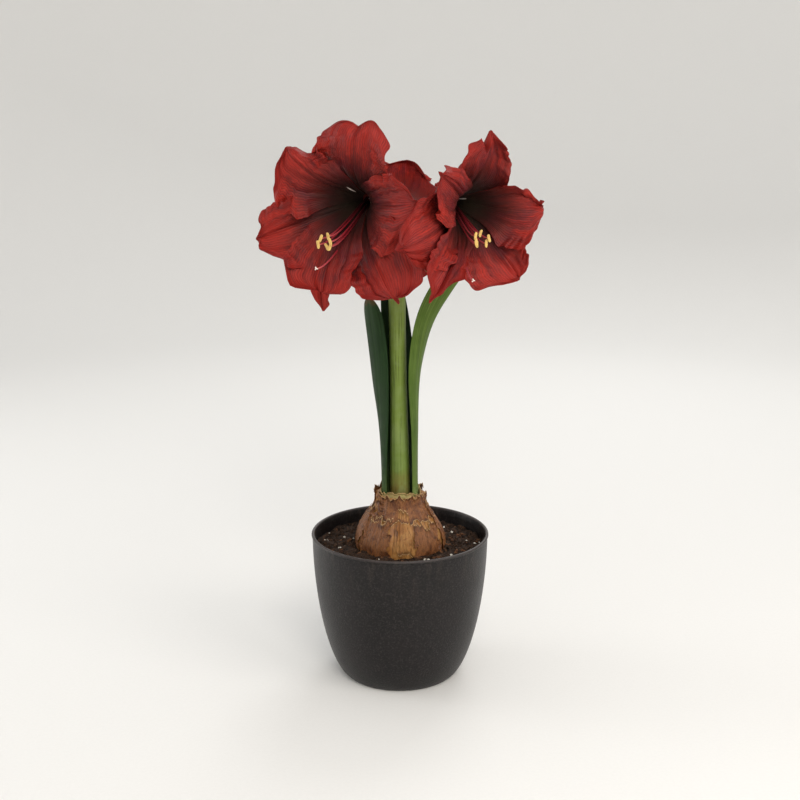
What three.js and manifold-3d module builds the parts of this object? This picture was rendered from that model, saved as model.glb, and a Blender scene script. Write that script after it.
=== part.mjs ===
// Amaryllis in a pot: a flared pot of potting soil holds one large bulb. From the bulb's neck rise four
// strap leaves and a stout scape, which carries three wide, ruffled blooms on short stalks.
// Millimetres, +Z up. The origin is the middle of the pot's base.
import * as THREE from "three";
import { mergeVertices } from "three/addons/utils/BufferGeometryUtils.js";
import Module from "manifold-3d";

const wasm = await Module();
wasm.setup();

const { smoothstep, degToRad, lerp } = THREE.MathUtils;

// ---- Driving dimensions ----

// Distance kept between pieces that touch.
const GAP = 0.35;

const POT_DIAMETER = 180;
const POT_HEIGHT = 150;
const POT_BASE_DIAMETER = 110;
const POT_WALL = 3;
const POT_SEGMENTS = 40;
const RIM_BEAD_HEIGHT = 3.2;
const RIM_BEAD_OUT = 0.9;
const RIM_GROOVE_DEPTH = 0.5;

const SOIL_LEVEL = 136;
const SOIL_LUMP = 1.3;

const BULB_FOOT = 98;
const BULB_HEIGHT = 93;
const BULB_RADIUS = 44;
const NECK_SHARE = 0.56;
const BULB_SEGMENTS = 28;
const BURIED_STEPS = 4;
const NECK_HOLE_RADIUS = 20.8;
const NECK_HOLE_DEPTH = 13;

const STEM_TOP = new THREE.Vector3(-3.2, 0, 455);
const STEM_FOOT_RADIUS = 11;
const STEM_RADIUS = 9;
const STEM_FLATNESS = 0.92;
const STALK_RADIUS = 3.7;
const OVARY_RADIUS = 6.2;
const OVARY_LENGTH = 15;

const PETAL_THICKNESS = 0.9;
const PETAL_ROWS = 9;
const PETAL_COLUMNS = 6;
const THROAT_RADIUS = 6.6;
const THROAT_PLUG_DEPTH = 8;
const FILAMENT_RADIUS = 0.85;
const ANTHER_LENGTH = 7.4;
const ANTHER_RADIUS = 1.4;
const STIGMA_RADIUS = 1.9;

const LEAF_ROWS = 12;
const LEAF_COLUMNS = 4;

// ---- From points to solids ----

// A closed mesh with shared corners, turned outward, as a solid that can be joined and cut.
function solid(geometry) {
  const bare = geometry.index ? geometry.toNonIndexed() : geometry.clone();
  bare.deleteAttribute("normal");
  bare.deleteAttribute("uv");
  const merged = mergeVertices(bare, 1e-4);
  const corner = (i) => new THREE.Vector3().fromBufferAttribute(merged.attributes.position, i);
  const kept = [];
  let volume = 0;
  for (let i = 0; i < merged.index.count; i += 3) {
    const [a, b, c] = merged.index.array.slice(i, i + 3);
    if (a === b || b === c || c === a) continue;
    kept.push([a, b, c]);
    volume += corner(a).dot(corner(b).cross(corner(c)));
  }
  const outward = volume > 0 ? kept : kept.map(([a, b, c]) => [a, c, b]);
  return new wasm.Manifold(
    new wasm.Mesh({
      numProp: 3,
      vertProperties: merged.attributes.position.array,
      triVerts: new Uint32Array(outward.flat()),
    }),
  );
}

function geometryOf(body) {
  const mesh = body.getMesh();
  const geometry = new THREE.BufferGeometry();
  geometry.setAttribute("position", new THREE.BufferAttribute(mesh.vertProperties, 3));
  geometry.setIndex(new THREE.BufferAttribute(mesh.triVerts, 1));
  geometry.computeVertexNormals();
  return geometry;
}

function geometryFromFaces(faces) {
  const flat = faces.flatMap((p) => [p.x, p.y, p.z]);
  const geometry = new THREE.BufferGeometry();
  geometry.setAttribute("position", new THREE.Float32BufferAttribute(flat, 3));
  return geometry;
}

// A skin over closed rings of points, with a fan of triangles over each end.
function loft(rings) {
  const faces = [];
  const middle = (ring) => ring.reduce((sum, p) => sum.add(p), new THREE.Vector3()).divideScalar(ring.length);
  for (let i = 0; i < rings.length - 1; i++) {
    rings[i].forEach((a, j) => {
      const next = (j + 1) % rings[i].length;
      const b = rings[i][next];
      const c = rings[i + 1][next];
      const d = rings[i + 1][j];
      faces.push(a, b, c, a, c, d);
    });
  }
  const foot = rings[0];
  const head = rings[rings.length - 1];
  foot.forEach((p, j) => faces.push(foot[(j + 1) % foot.length], p, middle(foot)));
  head.forEach((p, j) => faces.push(p, head[(j + 1) % head.length], middle(head)));
  return solid(geometryFromFaces(faces));
}

// A thin blade with a thickness of its own at each point. Both faces are split along the same diagonals.
function blade(rows, thicknessAt) {
  const last = rows.length - 1;
  const wide = rows[0].length - 1;
  const normalAt = (i, j) => {
    const row = Math.min(i, last - 1);
    const along = rows[row + 1][j].clone().sub(rows[Math.max(row - 1, 0)][j]);
    const across = rows[row][Math.min(j + 1, wide)].clone().sub(rows[row][Math.max(j - 1, 0)]);
    return across.cross(along).normalize();
  };
  const face = (side) =>
    rows.map((row, i) =>
      row.map((p, j) => {
        const middleOfTip = i === last ? Math.round(wide / 2) : j;
        return p.clone().addScaledVector(normalAt(i, middleOfTip), (side * thicknessAt(i, j)) / 2);
      }),
    );
  const upper = face(1);
  const lower = face(-1);
  const faces = [];
  const quad = (a, b, c, d) => faces.push(a, b, c, a, c, d);
  for (let i = 0; i < last; i++) {
    for (let j = 0; j < wide; j++) {
      const [a, b, c, d] = [upper[i][j], upper[i][j + 1], upper[i + 1][j + 1], upper[i + 1][j]];
      faces.push(a, b, c, a, c, d);
      const [e, f, g, h] = [lower[i][j], lower[i][j + 1], lower[i + 1][j + 1], lower[i + 1][j]];
      faces.push(e, g, f, e, h, g);
    }
    quad(lower[i][0], upper[i][0], upper[i + 1][0], lower[i + 1][0]);
    quad(upper[i][wide], lower[i][wide], lower[i + 1][wide], upper[i + 1][wide]);
  }
  for (let j = 0; j < wide; j++) {
    quad(upper[0][j + 1], upper[0][j], lower[0][j], lower[0][j + 1]);
    quad(upper[last][j], upper[last][j + 1], lower[last][j + 1], lower[last][j]);
  }
  return solid(geometryFromFaces(faces));
}

// A round or flattened rod along a curve, with a radius of its own at each step.
function rod(curve, radiusAt, sides, steps, flatness = 1) {
  const frames = curve.computeFrenetFrames(steps);
  const rings = [];
  for (let i = 0; i <= steps; i++) {
    const centre = curve.getPoint(i / steps);
    const radius = radiusAt(i / steps);
    const ring = [];
    for (let k = 0; k < sides; k++) {
      const angle = (k / sides) * 2 * Math.PI;
      ring.push(
        centre
          .clone()
          .addScaledVector(frames.normals[i], radius * Math.cos(angle))
          .addScaledVector(frames.binormals[i], radius * flatness * Math.sin(angle)),
      );
    }
    rings.push(ring);
  }
  return loft(rings);
}

// A turned body about Z. The profile is a list of [radius, height] that starts and ends on the axis.
function turned(profile, segments) {
  const points = profile.map(([radius, height]) => new THREE.Vector2(radius, height));
  return new THREE.LatheGeometry(points, segments).rotateX(Math.PI / 2);
}

// ---- Pot ----

// The wall swells out from the base in one curve and stands upright at the rim.
function potRadius(z) {
  const rise = 1 - (1 - Math.min(z / POT_HEIGHT, 1)) ** 1.94;
  const foot = POT_BASE_DIAMETER / 2;
  return foot + (POT_DIAMETER / 2 - RIM_BEAD_OUT - foot) * rise ** (1 / 1.625);
}

function pot() {
  const profile = [[0, 0]];
  const outsideSteps = 7;
  const wallTop = POT_HEIGHT - RIM_BEAD_HEIGHT;
  for (let i = 0; i <= outsideSteps; i++) {
    const z = wallTop * (i / outsideSteps) ** 1.7;
    profile.push([potRadius(z), z]);
  }
  // The groove, then the rounded bead, then down the inside.
  const rim = potRadius(POT_HEIGHT);
  const beadRadius = RIM_BEAD_HEIGHT / 2;
  profile.push([rim - RIM_GROOVE_DEPTH, wallTop + 0.5]);
  for (let i = 0; i <= 4; i++) {
    const angle = lerp(-50, 180, i / 4);
    const out = Math.cos(degToRad(angle)) * beadRadius;
    const up = Math.sin(degToRad(angle)) * beadRadius;
    profile.push([rim + RIM_BEAD_OUT - beadRadius + out, POT_HEIGHT - beadRadius + up]);
  }
  const insideSteps = 5;
  for (let i = insideSteps; i >= 0; i--) {
    const z = lerp(POT_WALL, wallTop - 2, (i / insideSteps) ** 1.5);
    profile.push([potRadius(z) - POT_WALL, z]);
  }
  profile.push([0, POT_WALL]);
  return solid(turned(profile, POT_SEGMENTS));
}

// ---- Bulb and soil ----

// The bulb's radius at a height: a narrow basal plate, a full body and a neck.
function bulbRadius(z) {
  const t = (z - BULB_FOOT) / BULB_HEIGHT;
  const body = Math.sin(Math.PI * (0.1 + 0.84 * t ** 0.93)) ** 0.9;
  const neck = NECK_SHARE * smoothstep(t, 0.35, 0.8);
  return BULB_RADIUS * (body ** 8 + neck ** 8) ** (1 / 8);
}

// A stretch of the bulb's outline, as [radius, height], standing off from it by a clearance.
function bulbOutline(from, to, steps, clearance = 0) {
  const outline = [];
  for (let i = 0; i <= steps; i++) {
    const z = lerp(from, to, i / steps);
    outline.push([bulbRadius(z) + clearance, z]);
  }
  return outline;
}

// The bulb isn't quite round: it bulges towards its offsets.
function swellLikeBulb(geometry) {
  const position = geometry.attributes.position;
  for (let i = 0; i < position.count; i++) {
    const [x, y] = [position.getX(i), position.getY(i)];
    const angle = Math.atan2(y, x);
    const height = (position.getZ(i) - BULB_FOOT) / BULB_HEIGHT;
    const body = smoothstep(height, 0, 0.3) * (1 - smoothstep(height, 0.7, 0.95));
    const swell = Math.hypot(x, y) < BULB_RADIUS * 1.1 ? 1 + body * 0.02 * Math.cos(2 * angle + 0.6) : 1;
    position.setXY(i, x * swell, y * swell);
  }
  return geometry;
}

function bulb() {
  const top = BULB_FOOT + BULB_HEIGHT;
  const profile = [
    [0, BULB_FOOT],
    ...bulbOutline(BULB_FOOT, SOIL_LEVEL, BURIED_STEPS),
    ...bulbOutline(SOIL_LEVEL, top, 7).slice(1),
    [(BULB_RADIUS * NECK_SHARE + NECK_HOLE_RADIUS) / 2, top + 0.8],
    [NECK_HOLE_RADIUS, top],
    [NECK_HOLE_RADIUS, top - NECK_HOLE_DEPTH],
    [0, top - NECK_HOLE_DEPTH],
  ];
  return solid(swellLikeBulb(turned(profile, BULB_SEGMENTS)));
}

// The soil fills the pot to a little under its rim and leaves a hole of the bulb's own shape.
function soil() {
  const floor = POT_WALL + GAP;
  const profile = [[0, floor]];
  const wallSteps = 5;
  for (let i = 0; i <= wallSteps; i++) {
    const z = lerp(floor, SOIL_LEVEL, (i / wallSteps) ** 1.5);
    profile.push([potRadius(z) - POT_WALL - 2 * GAP, z]);
  }
  const edge = potRadius(SOIL_LEVEL) - POT_WALL;
  [0.92, 0.8, 0.68].forEach((share) => profile.push([edge * share, SOIL_LEVEL]));
  const hole = bulbOutline(BULB_FOOT, SOIL_LEVEL, BURIED_STEPS, 2 * GAP);
  hole[0][1] -= GAP;
  profile.push(...hole.reverse(), [0, BULB_FOOT - GAP]);
  const geometry = swellLikeBulb(turned(profile, POT_SEGMENTS));
  const position = geometry.attributes.position;
  for (let i = 0; i < position.count; i++) {
    const [x, y, z] = [position.getX(i), position.getY(i), position.getZ(i)];
    const lump = Math.sin(0.17 * x + 1.3) * Math.cos(0.21 * y) + 0.6 * Math.sin(0.37 * x - 0.31 * y);
    if (z > SOIL_LEVEL - 0.5) position.setZ(i, z + SOIL_LUMP * lump);
  }
  return solid(geometry);
}

// ---- Blooms ----

// Each bloom has a place for its foot, the way it faces, its petals, and where its anthers and its
// stigma lie. A petal's "turn" is its angle round the bloom (0 is the onlooker's right, 90 is up),
// "reach" and "depth" place its tip from the bloom's axis and foot, and "layer" is 1 for an inner
// petal and -1 for an outer one. "end" is where the blade ends and only its beak goes on, "skew" makes
// one side wider than the other, and "bow" swings the tip sideways, in degrees.
const BLOOMS = [
  {
    name: "bloom_front_left",
    foot: [-27, -14, 488],
    facing: [-0.38, -0.92, -0.08],
    anthers: [-3.5, -25, 96],
    stigma: [-9, -47, 107],
    petals: [
      {
        turn: 74, layer: -1, half: 39, reach: 77.5, depth: 84, full: 0.78, blunt: 3.4, end: 1,
        roll: -0.1, beak: 0, hook: -9,
      },
      {
        turn: 130, layer: 1, half: 41, reach: 73, depth: 80, full: 0.74, blunt: 2, roll: -0.1,
        beak: 8, skew: 0.36,
      },
      { turn: 199, layer: -1, half: 36, reach: 86, depth: 87.5, full: 0.74, blunt: 2.2, skew: 0.25 },
      {
        turn: 256, layer: 1, half: 40, reach: 93, depth: 86.5, full: 0.8, blunt: 3, end: 0.87,
        hook: -8, beak: 6, skew: -0.1, bow: 4,
      },
      { turn: 304, layer: -1, half: 42, reach: 97, depth: 85.5, full: 0.74, blunt: 1.6, skew: 0.3 },
      {
        turn: 8, layer: 1, half: 43, reach: 75, depth: 78.5, full: 0.7, blunt: 2, roll: -0.12,
        shoulder: 74, skew: -0.12,
      },
    ],
  },
  {
    name: "bloom_front_right",
    foot: [44, -14, 486],
    facing: [0.44, -0.89, -0.1],
    anthers: [-16, -18, 96],
    stigma: [-27, -52, 107],
    petals: [
      {
        turn: 90, layer: -1, half: 33, reach: 74, depth: 82, full: 0.55, blunt: 1.4, end: 0.9,
        roll: 0.08, beak: 7, skew: 0.15,
      },
      {
        turn: 4, layer: 1, half: 34, reach: 64.5, depth: 72.5, full: 0.62, blunt: 1.2, beak: 8,
        skew: -0.4,
      },
      { turn: 304, layer: -1, half: 37, reach: 77, depth: 80, full: 0.74, blunt: 2.4, skew: -0.48 },
      {
        turn: 234, layer: 1, half: 23, reach: 95, depth: 83, full: 0.64, blunt: 1.3, fold: 0.2,
        skew: -0.45,
      },
      {
        turn: 196, layer: -1, half: 42, reach: 96.5, depth: 90, full: 0.7, shoulder: 86, ruffle: 5,
        skew: -0.15,
      },
      {
        turn: 146, layer: 1, half: 25, reach: 79.5, depth: 96, full: 0.64, roll: -0.1, beak: 6,
        hook: 4, spread: 40, shoulder: 90, ruffle: 5, skew: 0.35,
      },
    ],
  },
  {
    name: "bloom_rear",
    foot: [2, 27, 474],
    facing: [0.1, 0.97, -0.2],
    anthers: [2, -22, 96],
    stigma: [-4, -40, 106],
    petals: [
      {
        turn: 85, layer: -1, half: 41, reach: 60, depth: 76.5, blunt: 2.2, hook: -6, ruffle: 5,
        skew: -0.12,
      },
      { turn: 158, layer: 1, half: 38, reach: 72, depth: 80, ruffle: 5, skew: 0.25 },
      { turn: 210, layer: -1, half: 42, reach: 77, depth: 82, ruffle: 5 },
      { turn: 268, layer: 1, half: 36, reach: 69, depth: 80, ruffle: 5 },
      { turn: 330, layer: -1, half: 42, reach: 77, depth: 82, ruffle: 5 },
      { turn: 28, layer: 1, half: 42, reach: 76, depth: 80, ruffle: 5 },
    ],
  },
];

const PETAL_HABIT = {
  spread: 48, shoulder: 80, full: 0.66, blunt: 1.7, end: 0.955, roll: 0.06, ruffle: 6, beak: 7, hook: -5,
  fold: 0, skew: 0, bow: 0,
};

// A point of a petal in its bloom's frame: s runs from foot to tip, u from margin to margin. The
// midrib is a Bezier curve in radius and height, the blade wraps round the bloom's axis, and each
// offset along the blade's normal gives one of its bends.
function petalPoint(habit, order, s, u) {
  const p = { ...PETAL_HABIT, ...habit };
  const outwards = new THREE.CubicBezierCurve(
    new THREE.Vector2(5, 0),
    new THREE.Vector2(12, 54),
    new THREE.Vector2(p.spread, p.shoulder),
    new THREE.Vector2(p.reach, p.depth),
  );
  const rib = outwards.getPoint(s);
  const heading = outwards.getTangent(s);
  const towardsAxis = new THREE.Vector2(-heading.y, heading.x);
  const grown = Math.min(s / p.end, 1);
  const above = Math.max((grown - p.full) / (1 - p.full), 0);
  const below = Math.max((p.full - grown) / p.full, 0);
  const outline = above > 0 ? (1 - above ** 2.6) ** (1 / p.blunt) : 1 - 0.3 * below ** 2;
  const beak = p.beak * Math.min((1 - s) / 0.1, 1) ** 0.8;
  const wanted = Math.hypot(p.half * outline, beak);
  const room = 0.92 * rib.x;
  const half = (wanted ** -4 + room ** -4) ** -0.25;
  const margin = Math.abs(u);
  const side = Math.sign(u);
  const phase = order * 1.9 + 0.5;
  const free = smoothstep(s, 0.38, 0.74) * (1 - 0.85 * smoothstep(s, 0.93, 1));
  const layer = p.layer * (0.8 + 2.6 * smoothstep(s, 0.2, 0.6));
  const roll = p.roll * half * margin ** 2 * smoothstep(s, 0.15, 0.6);
  const ruffle = p.ruffle * margin ** 2.6 * free * Math.sin(2 * Math.PI * 2.7 * s + phase + side * 1.3);
  const wavy = smoothstep(s, 0.3, 0.7) * (1 - smoothstep(s, 0.85, 1)) * (1 - margin ** 2 / 2);
  const buckle = 2.6 * wavy * Math.sin(4.7 * u + phase);
  const hook = p.hook * smoothstep(s, 0.84, 1) ** 2;
  const fold = p.fold * half * margin ** 1.3 * smoothstep(s, 0.3, 0.7);
  const bends = layer + roll + ruffle + buckle + hook + fold;
  const radius = rib.x + towardsAxis.x * bends;
  const height = rib.y + towardsAxis.y * bends;
  const lopsided = 1 + p.skew * side * smoothstep(s, 0.3, 0.65);
  const bow = p.bow * smoothstep(s, 0.6, 1) ** 1.5;
  const angle = degToRad(p.turn + bow) + (half * u * lopsided) / rib.x;
  return new THREE.Vector3(radius * Math.cos(angle), radius * Math.sin(angle), height);
}

function petal(habit, order) {
  const rows = [];
  for (let i = 0; i <= PETAL_ROWS; i++) {
    const s = 1 - (1 - i / PETAL_ROWS) ** 1.4;
    const row = [];
    for (let j = 0; j <= PETAL_COLUMNS; j++) {
      const u = i === PETAL_ROWS ? 0 : (2 * j) / PETAL_COLUMNS - 1;
      row.push(petalPoint(habit, order, s, u));
    }
    rows.push(row);
  }
  return blade(rows, () => PETAL_THICKNESS);
}

// The short tube that petals, filaments and style grow from. It sits on the ovary.
function throat() {
  const profile = [
    [0, 0],
    [THROAT_RADIUS - 0.6, 0],
    [THROAT_RADIUS, 1.2],
    [THROAT_RADIUS + 0.8, THROAT_PLUG_DEPTH],
    [0, THROAT_PLUG_DEPTH],
  ];
  return solid(turned(profile, 12));
}

// A filament leaves the throat low, runs along the lower petals and lifts its tip.
function filament(root, tip, radius) {
  const sag = new THREE.Vector3(lerp(root.x, tip.x, 0.25), lerp(root.y, tip.y, 0.45) - 2, 42);
  const bend = new THREE.Vector3(lerp(root.x, tip.x, 0.8), tip.y - 5, tip.z - 22);
  const curve = new THREE.CubicBezierCurve3(root, sag, bend, tip);
  return rod(curve, (t) => radius * (1 - 0.2 * t), 3, 6);
}

function anther(tip, order) {
  const grain = new THREE.IcosahedronGeometry(1, 0);
  grain.scale(ANTHER_RADIUS, ANTHER_LENGTH / 2, ANTHER_RADIUS);
  grain.rotateX(0.5 * Math.sin(order * 2.1));
  grain.rotateZ(0.6 * Math.cos(order * 1.7));
  grain.translate(tip.x, tip.y, tip.z);
  return solid(grain);
}

function bloom(plan) {
  let body = throat();
  plan.petals.forEach((habit, order) => {
    body = body.add(petal(habit, order));
  });
  const cluster = new THREE.Vector3(...plan.anthers);
  for (let k = 0; k < 6; k++) {
    const angle = degToRad(60 * k + 20);
    const root = new THREE.Vector3(2.6 * Math.cos(angle), 2.6 * Math.sin(angle), THROAT_PLUG_DEPTH - 3);
    const offset = new THREE.Vector3(6.5 * Math.cos(angle), 5 * Math.sin(angle), 4 * Math.cos(2.3 * k));
    const tip = cluster.clone().add(offset);
    body = body.add(filament(root, tip, FILAMENT_RADIUS)).add(anther(tip, k));
  }
  const stigma = new THREE.Vector3(...plan.stigma);
  const styleRoot = new THREE.Vector3(0, -0.5, THROAT_PLUG_DEPTH - 3);
  const knob = new THREE.IcosahedronGeometry(STIGMA_RADIUS, 0).translate(...plan.stigma);
  return body.add(filament(styleRoot, stigma, FILAMENT_RADIUS + 0.1)).add(solid(knob));
}

// The bloom's own frame: Z is the way it faces, Y is up and X is the onlooker's right.
function bloomTurn(facing) {
  const ahead = new THREE.Vector3(...facing).normalize();
  const up = new THREE.Vector3(0, 0, 1).addScaledVector(ahead, -ahead.z).normalize();
  const right = new THREE.Vector3().crossVectors(up, ahead);
  return new THREE.Matrix4().makeBasis(right, up, ahead);
}

// ---- Flower stem ----

// The scape, the flower stalks and the ovary behind each bloom are one green body.
function stem() {
  const foot = new THREE.Vector3(0, 0, BULB_FOOT + BULB_HEIGHT - NECK_HOLE_DEPTH + GAP);
  const shoulder = STEM_TOP.clone().setZ(STEM_TOP.z - 5);
  const scape = new THREE.CubicBezierCurve3(
    foot,
    new THREE.Vector3(-0.5, 0, 270),
    new THREE.Vector3(-3.4, 0, 360),
    shoulder,
  );
  const thickness = (t) => lerp(STEM_FOOT_RADIUS, STEM_RADIUS, smoothstep(t, 0, 0.55));
  const crown = new THREE.LineCurve3(shoulder.clone().setZ(shoulder.z - 1), STEM_TOP);
  let body = rod(scape, thickness, 16, 10, STEM_FLATNESS);
  body = body.add(rod(crown, (t) => lerp(STEM_RADIUS - 0.8, 5.4, t ** 2), 12, 3));
  for (const { foot: seat, facing } of BLOOMS) {
    const ahead = new THREE.Vector3(...facing).normalize();
    const end = new THREE.Vector3(...seat).addScaledVector(ahead, -GAP);
    const spread = seat[0] - STEM_TOP.x;
    const start = STEM_TOP.clone().add(new THREE.Vector3(0.07 * spread, 0.1 * seat[1], -3));
    const rise = start.clone().add(new THREE.Vector3(0.35 * spread, 0.1 * seat[1], 17));
    const approach = end.clone().addScaledVector(ahead, -19);
    const stalk = new THREE.CubicBezierCurve3(start, rise, approach, end);
    const length = stalk.getLength();
    const girth = (t) => {
      const back = (1 - t) * length;
      const ovary = (1 - smoothstep(back, OVARY_LENGTH - 5, OVARY_LENGTH + 5)) * smoothstep(back, -4, 4);
      return STALK_RADIUS + (OVARY_RADIUS - STALK_RADIUS) * ovary;
    };
    body = body.add(rod(stalk, girth, 8, 11));
  }
  return body;
}

// ---- Leaves and bracts ----

// A strap leaf follows a line through its points. Its outer face looks along an angle that turns from
// its foot to its tip, its section is an arc that opens as it rises, and its tip is rounded.
function strap({ points, look, half, arc, thickness, start = 0.72, tip = 0.8 }) {
  const line = new THREE.CatmullRomCurve3(points.map((p) => new THREE.Vector3(...p)), false, "centripetal");
  const rows = [];
  for (let i = 0; i <= LEAF_ROWS; i++) {
    const t = 1 - (1 - i / LEAF_ROWS) ** 1.25;
    const centre = line.getPointAt(t);
    const along = line.getTangentAt(t);
    const angle = degToRad(lerp(look[0], look[1], smoothstep(t, 0.1, 0.8)));
    const outer = new THREE.Vector3(Math.cos(angle), Math.sin(angle), 0);
    outer.addScaledVector(along, -outer.dot(along)).normalize();
    const across = new THREE.Vector3().crossVectors(along, outer);
    const end = Math.max((t - tip) / (1 - tip), 0);
    const width = half * lerp(start, 1, smoothstep(t, 0, 0.5)) * Math.sqrt(1 - end ** 2.3);
    const bend = lerp(arc[0], arc[1], smoothstep(t, 0.05, 0.6));
    const row = [];
    for (let j = 0; j <= LEAF_COLUMNS; j++) {
      const turn = (((2 * j) / LEAF_COLUMNS - 1) * width) / bend;
      row.push(
        centre
          .clone()
          .addScaledVector(across, bend * Math.sin(turn))
          .addScaledVector(outer, bend * (Math.cos(turn) - 1)),
      );
    }
    rows.push(row);
  }
  const thicknessAt = (i, j) => {
    const u = (2 * j) / LEAF_COLUMNS - 1;
    return lerp(thickness, 0.5 * thickness, i / LEAF_ROWS) * (1 - 0.5 * u * u) + 0.3;
  };
  return blade(rows, thicknessAt);
}

const LEAF_FOOT = BULB_FOOT + BULB_HEIGHT - NECK_HOLE_DEPTH + 2 * GAP;
const LEAVES = [
  {
    name: "leaf_short_left",
    colour: 0x2a3828,
    points: [
      [-16.8, -1.5, LEAF_FOOT], [-18.5, -2.5, 250], [-22.5, -4, 325], [-27, -5, 365], [-30.5, -6, 391],
    ],
    look: [186, 226],
    half: 13.4,
    arc: [16.8, 34],
    thickness: 2.4,
    tip: 0.86,
  },
  {
    name: "leaf_long_left",
    colour: 0x2b3c27,
    points: [
      [-10, 8.6, LEAF_FOOT], [-10.4, 8.7, 200], [-11.6, 8.5, 255], [-12.4, 8.6, 330],
      [-14.5, 14, 395], [-22, 28, 436], [-34, 43, 450],
    ],
    look: [139, 148],
    half: 11.6,
    arc: [13.2, 60],
    thickness: 2.4,
    start: 0.86,
  },
  {
    name: "leaf_long_right",
    colour: 0x586c36,
    points: [
      [16.8, -2.2, LEAF_FOOT], [16.6, -3.5, 250], [17.4, -4, 325], [26, -1, 368], [42, 5, 398],
      [65, 14, 426], [92, 25, 438], [116, 36, 430],
    ],
    look: [-9, -52],
    half: 13.5,
    arc: [16.8, 40],
    thickness: 2.4,
    tip: 0.7,
  },
  {
    name: "leaf_short_right",
    colour: 0x26351f,
    points: [
      [10.2, 8.6, LEAF_FOOT], [9.7, 9.2, 200], [7.4, 13, 255], [7, 17, 325], [4.5, 18.5, 354], [0.5, 20, 398],
    ],
    look: [40, 58],
    half: 8.8,
    arc: [13.2, 60],
    thickness: 2.2,
    start: 0.86,
    tip: 0.66,
  },
];

// Two withered bracts hang from one collar under the flower stalks.
function spathe() {
  const at = STEM_TOP.z - 11;
  const collar = (radius, reach) => {
    const low = new THREE.Vector3(STEM_TOP.x + 0.06, 0, at - reach);
    const high = new THREE.Vector3(STEM_TOP.x + 0.03, 0, at + reach);
    return rod(new THREE.LineCurve3(low, high), () => radius, 16, 1);
  };
  let body = collar(STEM_RADIUS + 1.9, 1.8);
  for (const turn of [188, 38]) {
    const out = new THREE.Vector3(Math.cos(degToRad(turn)), Math.sin(degToRad(turn)), 0);
    const place = (reach, z) => [STEM_TOP.x + out.x * reach, out.y * reach, z];
    const points = [
      place(9.8, at - 1), place(17, at + 6), place(28, at + 2), place(36, at - 12), place(39, at - 33),
    ];
    const look = [turn, turn];
    const bract = strap({ points, look, half: 8.5, arc: [11, 8], thickness: 0.9, start: 0.8, tip: 0.3 });
    body = body.add(bract);
  }
  return body.subtract(collar(STEM_RADIUS + GAP, 12));
}

// ---- The scene graph ----

function mesh(name, body, colour, roughness) {
  const material = new THREE.MeshStandardMaterial({ color: colour, roughness, metalness: 0 });
  material.name = name;
  const piece = new THREE.Mesh(geometryOf(body), material);
  piece.name = name;
  return piece;
}

const plant = new THREE.Group();
plant.add(mesh("bulb", bulb(), 0x7a4a2c, 0.7));
plant.add(mesh("flower_stem", stem(), 0x6a7641, 0.45));
plant.add(mesh("spathe", spathe(), 0x8a7a4e, 0.8));
for (const leaf of LEAVES) plant.add(mesh(leaf.name, strap(leaf), leaf.colour, 0.45));
for (const plan of BLOOMS) {
  const flower = mesh(plan.name, bloom(plan), 0x8a2527, 0.55);
  flower.position.set(...plan.foot);
  flower.setRotationFromMatrix(bloomTurn(plan.facing));
  plant.add(flower);
}

const pottedPlant = new THREE.Group();
pottedPlant.add(mesh("pot", pot(), 0x2b2625, 0.6));
pottedPlant.add(mesh("potting_soil", soil(), 0x2c2119, 0.95));
pottedPlant.add(plant);

export default pottedPlant;
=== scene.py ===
# %% [markdown]
# # An amaryllis in its pot
# One large bulb sits half buried in a dark pot of soil. Out of its neck grow four strap leaves and a
# stout green scape, and on top of the scape three wide, ruffled red flowers lean out on short stalks.
# The solid model gives every place and size. Each step below makes one piece of the plant finer than
# the solid it stands for, and gives it its finish.

import math
import random

import bpy
import numpy as np
from mathutils import Matrix, Vector, noise


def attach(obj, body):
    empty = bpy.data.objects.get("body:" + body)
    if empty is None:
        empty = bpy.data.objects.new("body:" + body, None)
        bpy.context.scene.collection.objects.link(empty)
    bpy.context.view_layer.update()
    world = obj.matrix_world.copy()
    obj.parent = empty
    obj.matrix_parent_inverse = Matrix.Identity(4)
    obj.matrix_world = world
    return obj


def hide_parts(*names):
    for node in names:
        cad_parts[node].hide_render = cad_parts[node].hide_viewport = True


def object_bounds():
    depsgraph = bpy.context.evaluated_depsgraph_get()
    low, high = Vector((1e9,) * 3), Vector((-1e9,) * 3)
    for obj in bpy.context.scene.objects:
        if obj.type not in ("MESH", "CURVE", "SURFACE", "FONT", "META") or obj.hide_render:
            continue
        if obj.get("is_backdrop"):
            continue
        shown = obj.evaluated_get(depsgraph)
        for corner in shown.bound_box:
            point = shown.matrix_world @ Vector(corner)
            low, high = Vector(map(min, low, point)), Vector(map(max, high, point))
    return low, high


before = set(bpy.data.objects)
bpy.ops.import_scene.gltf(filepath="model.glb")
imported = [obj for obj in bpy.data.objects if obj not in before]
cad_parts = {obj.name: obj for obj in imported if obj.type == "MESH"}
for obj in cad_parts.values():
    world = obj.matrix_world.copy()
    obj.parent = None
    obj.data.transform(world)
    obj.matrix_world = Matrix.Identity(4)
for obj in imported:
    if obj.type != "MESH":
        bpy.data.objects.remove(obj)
cad_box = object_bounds()
print("solid model, lowest and highest corner in m:", [[round(v, 3) for v in c] for c in cad_box])

# %% [markdown]
# ## A small workbench
# Shapes are worked out in millimetres and written in metres. An operator acts on everything that is
# selected, so nothing is selected before a piece is added. A finished piece keeps its place in its
# mesh, and the solid it stands for is hidden.

# %% Helpers for pieces
MM = 0.001


def smooth(low, high, value):
    """0 below low, 1 above high, and an even S-curve between them."""
    t = np.clip((value - low) / (high - low), 0, 1)
    return t * t * (3 - 2 * t)


def mix(a, b, t):
    return a + (b - a) * t


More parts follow.
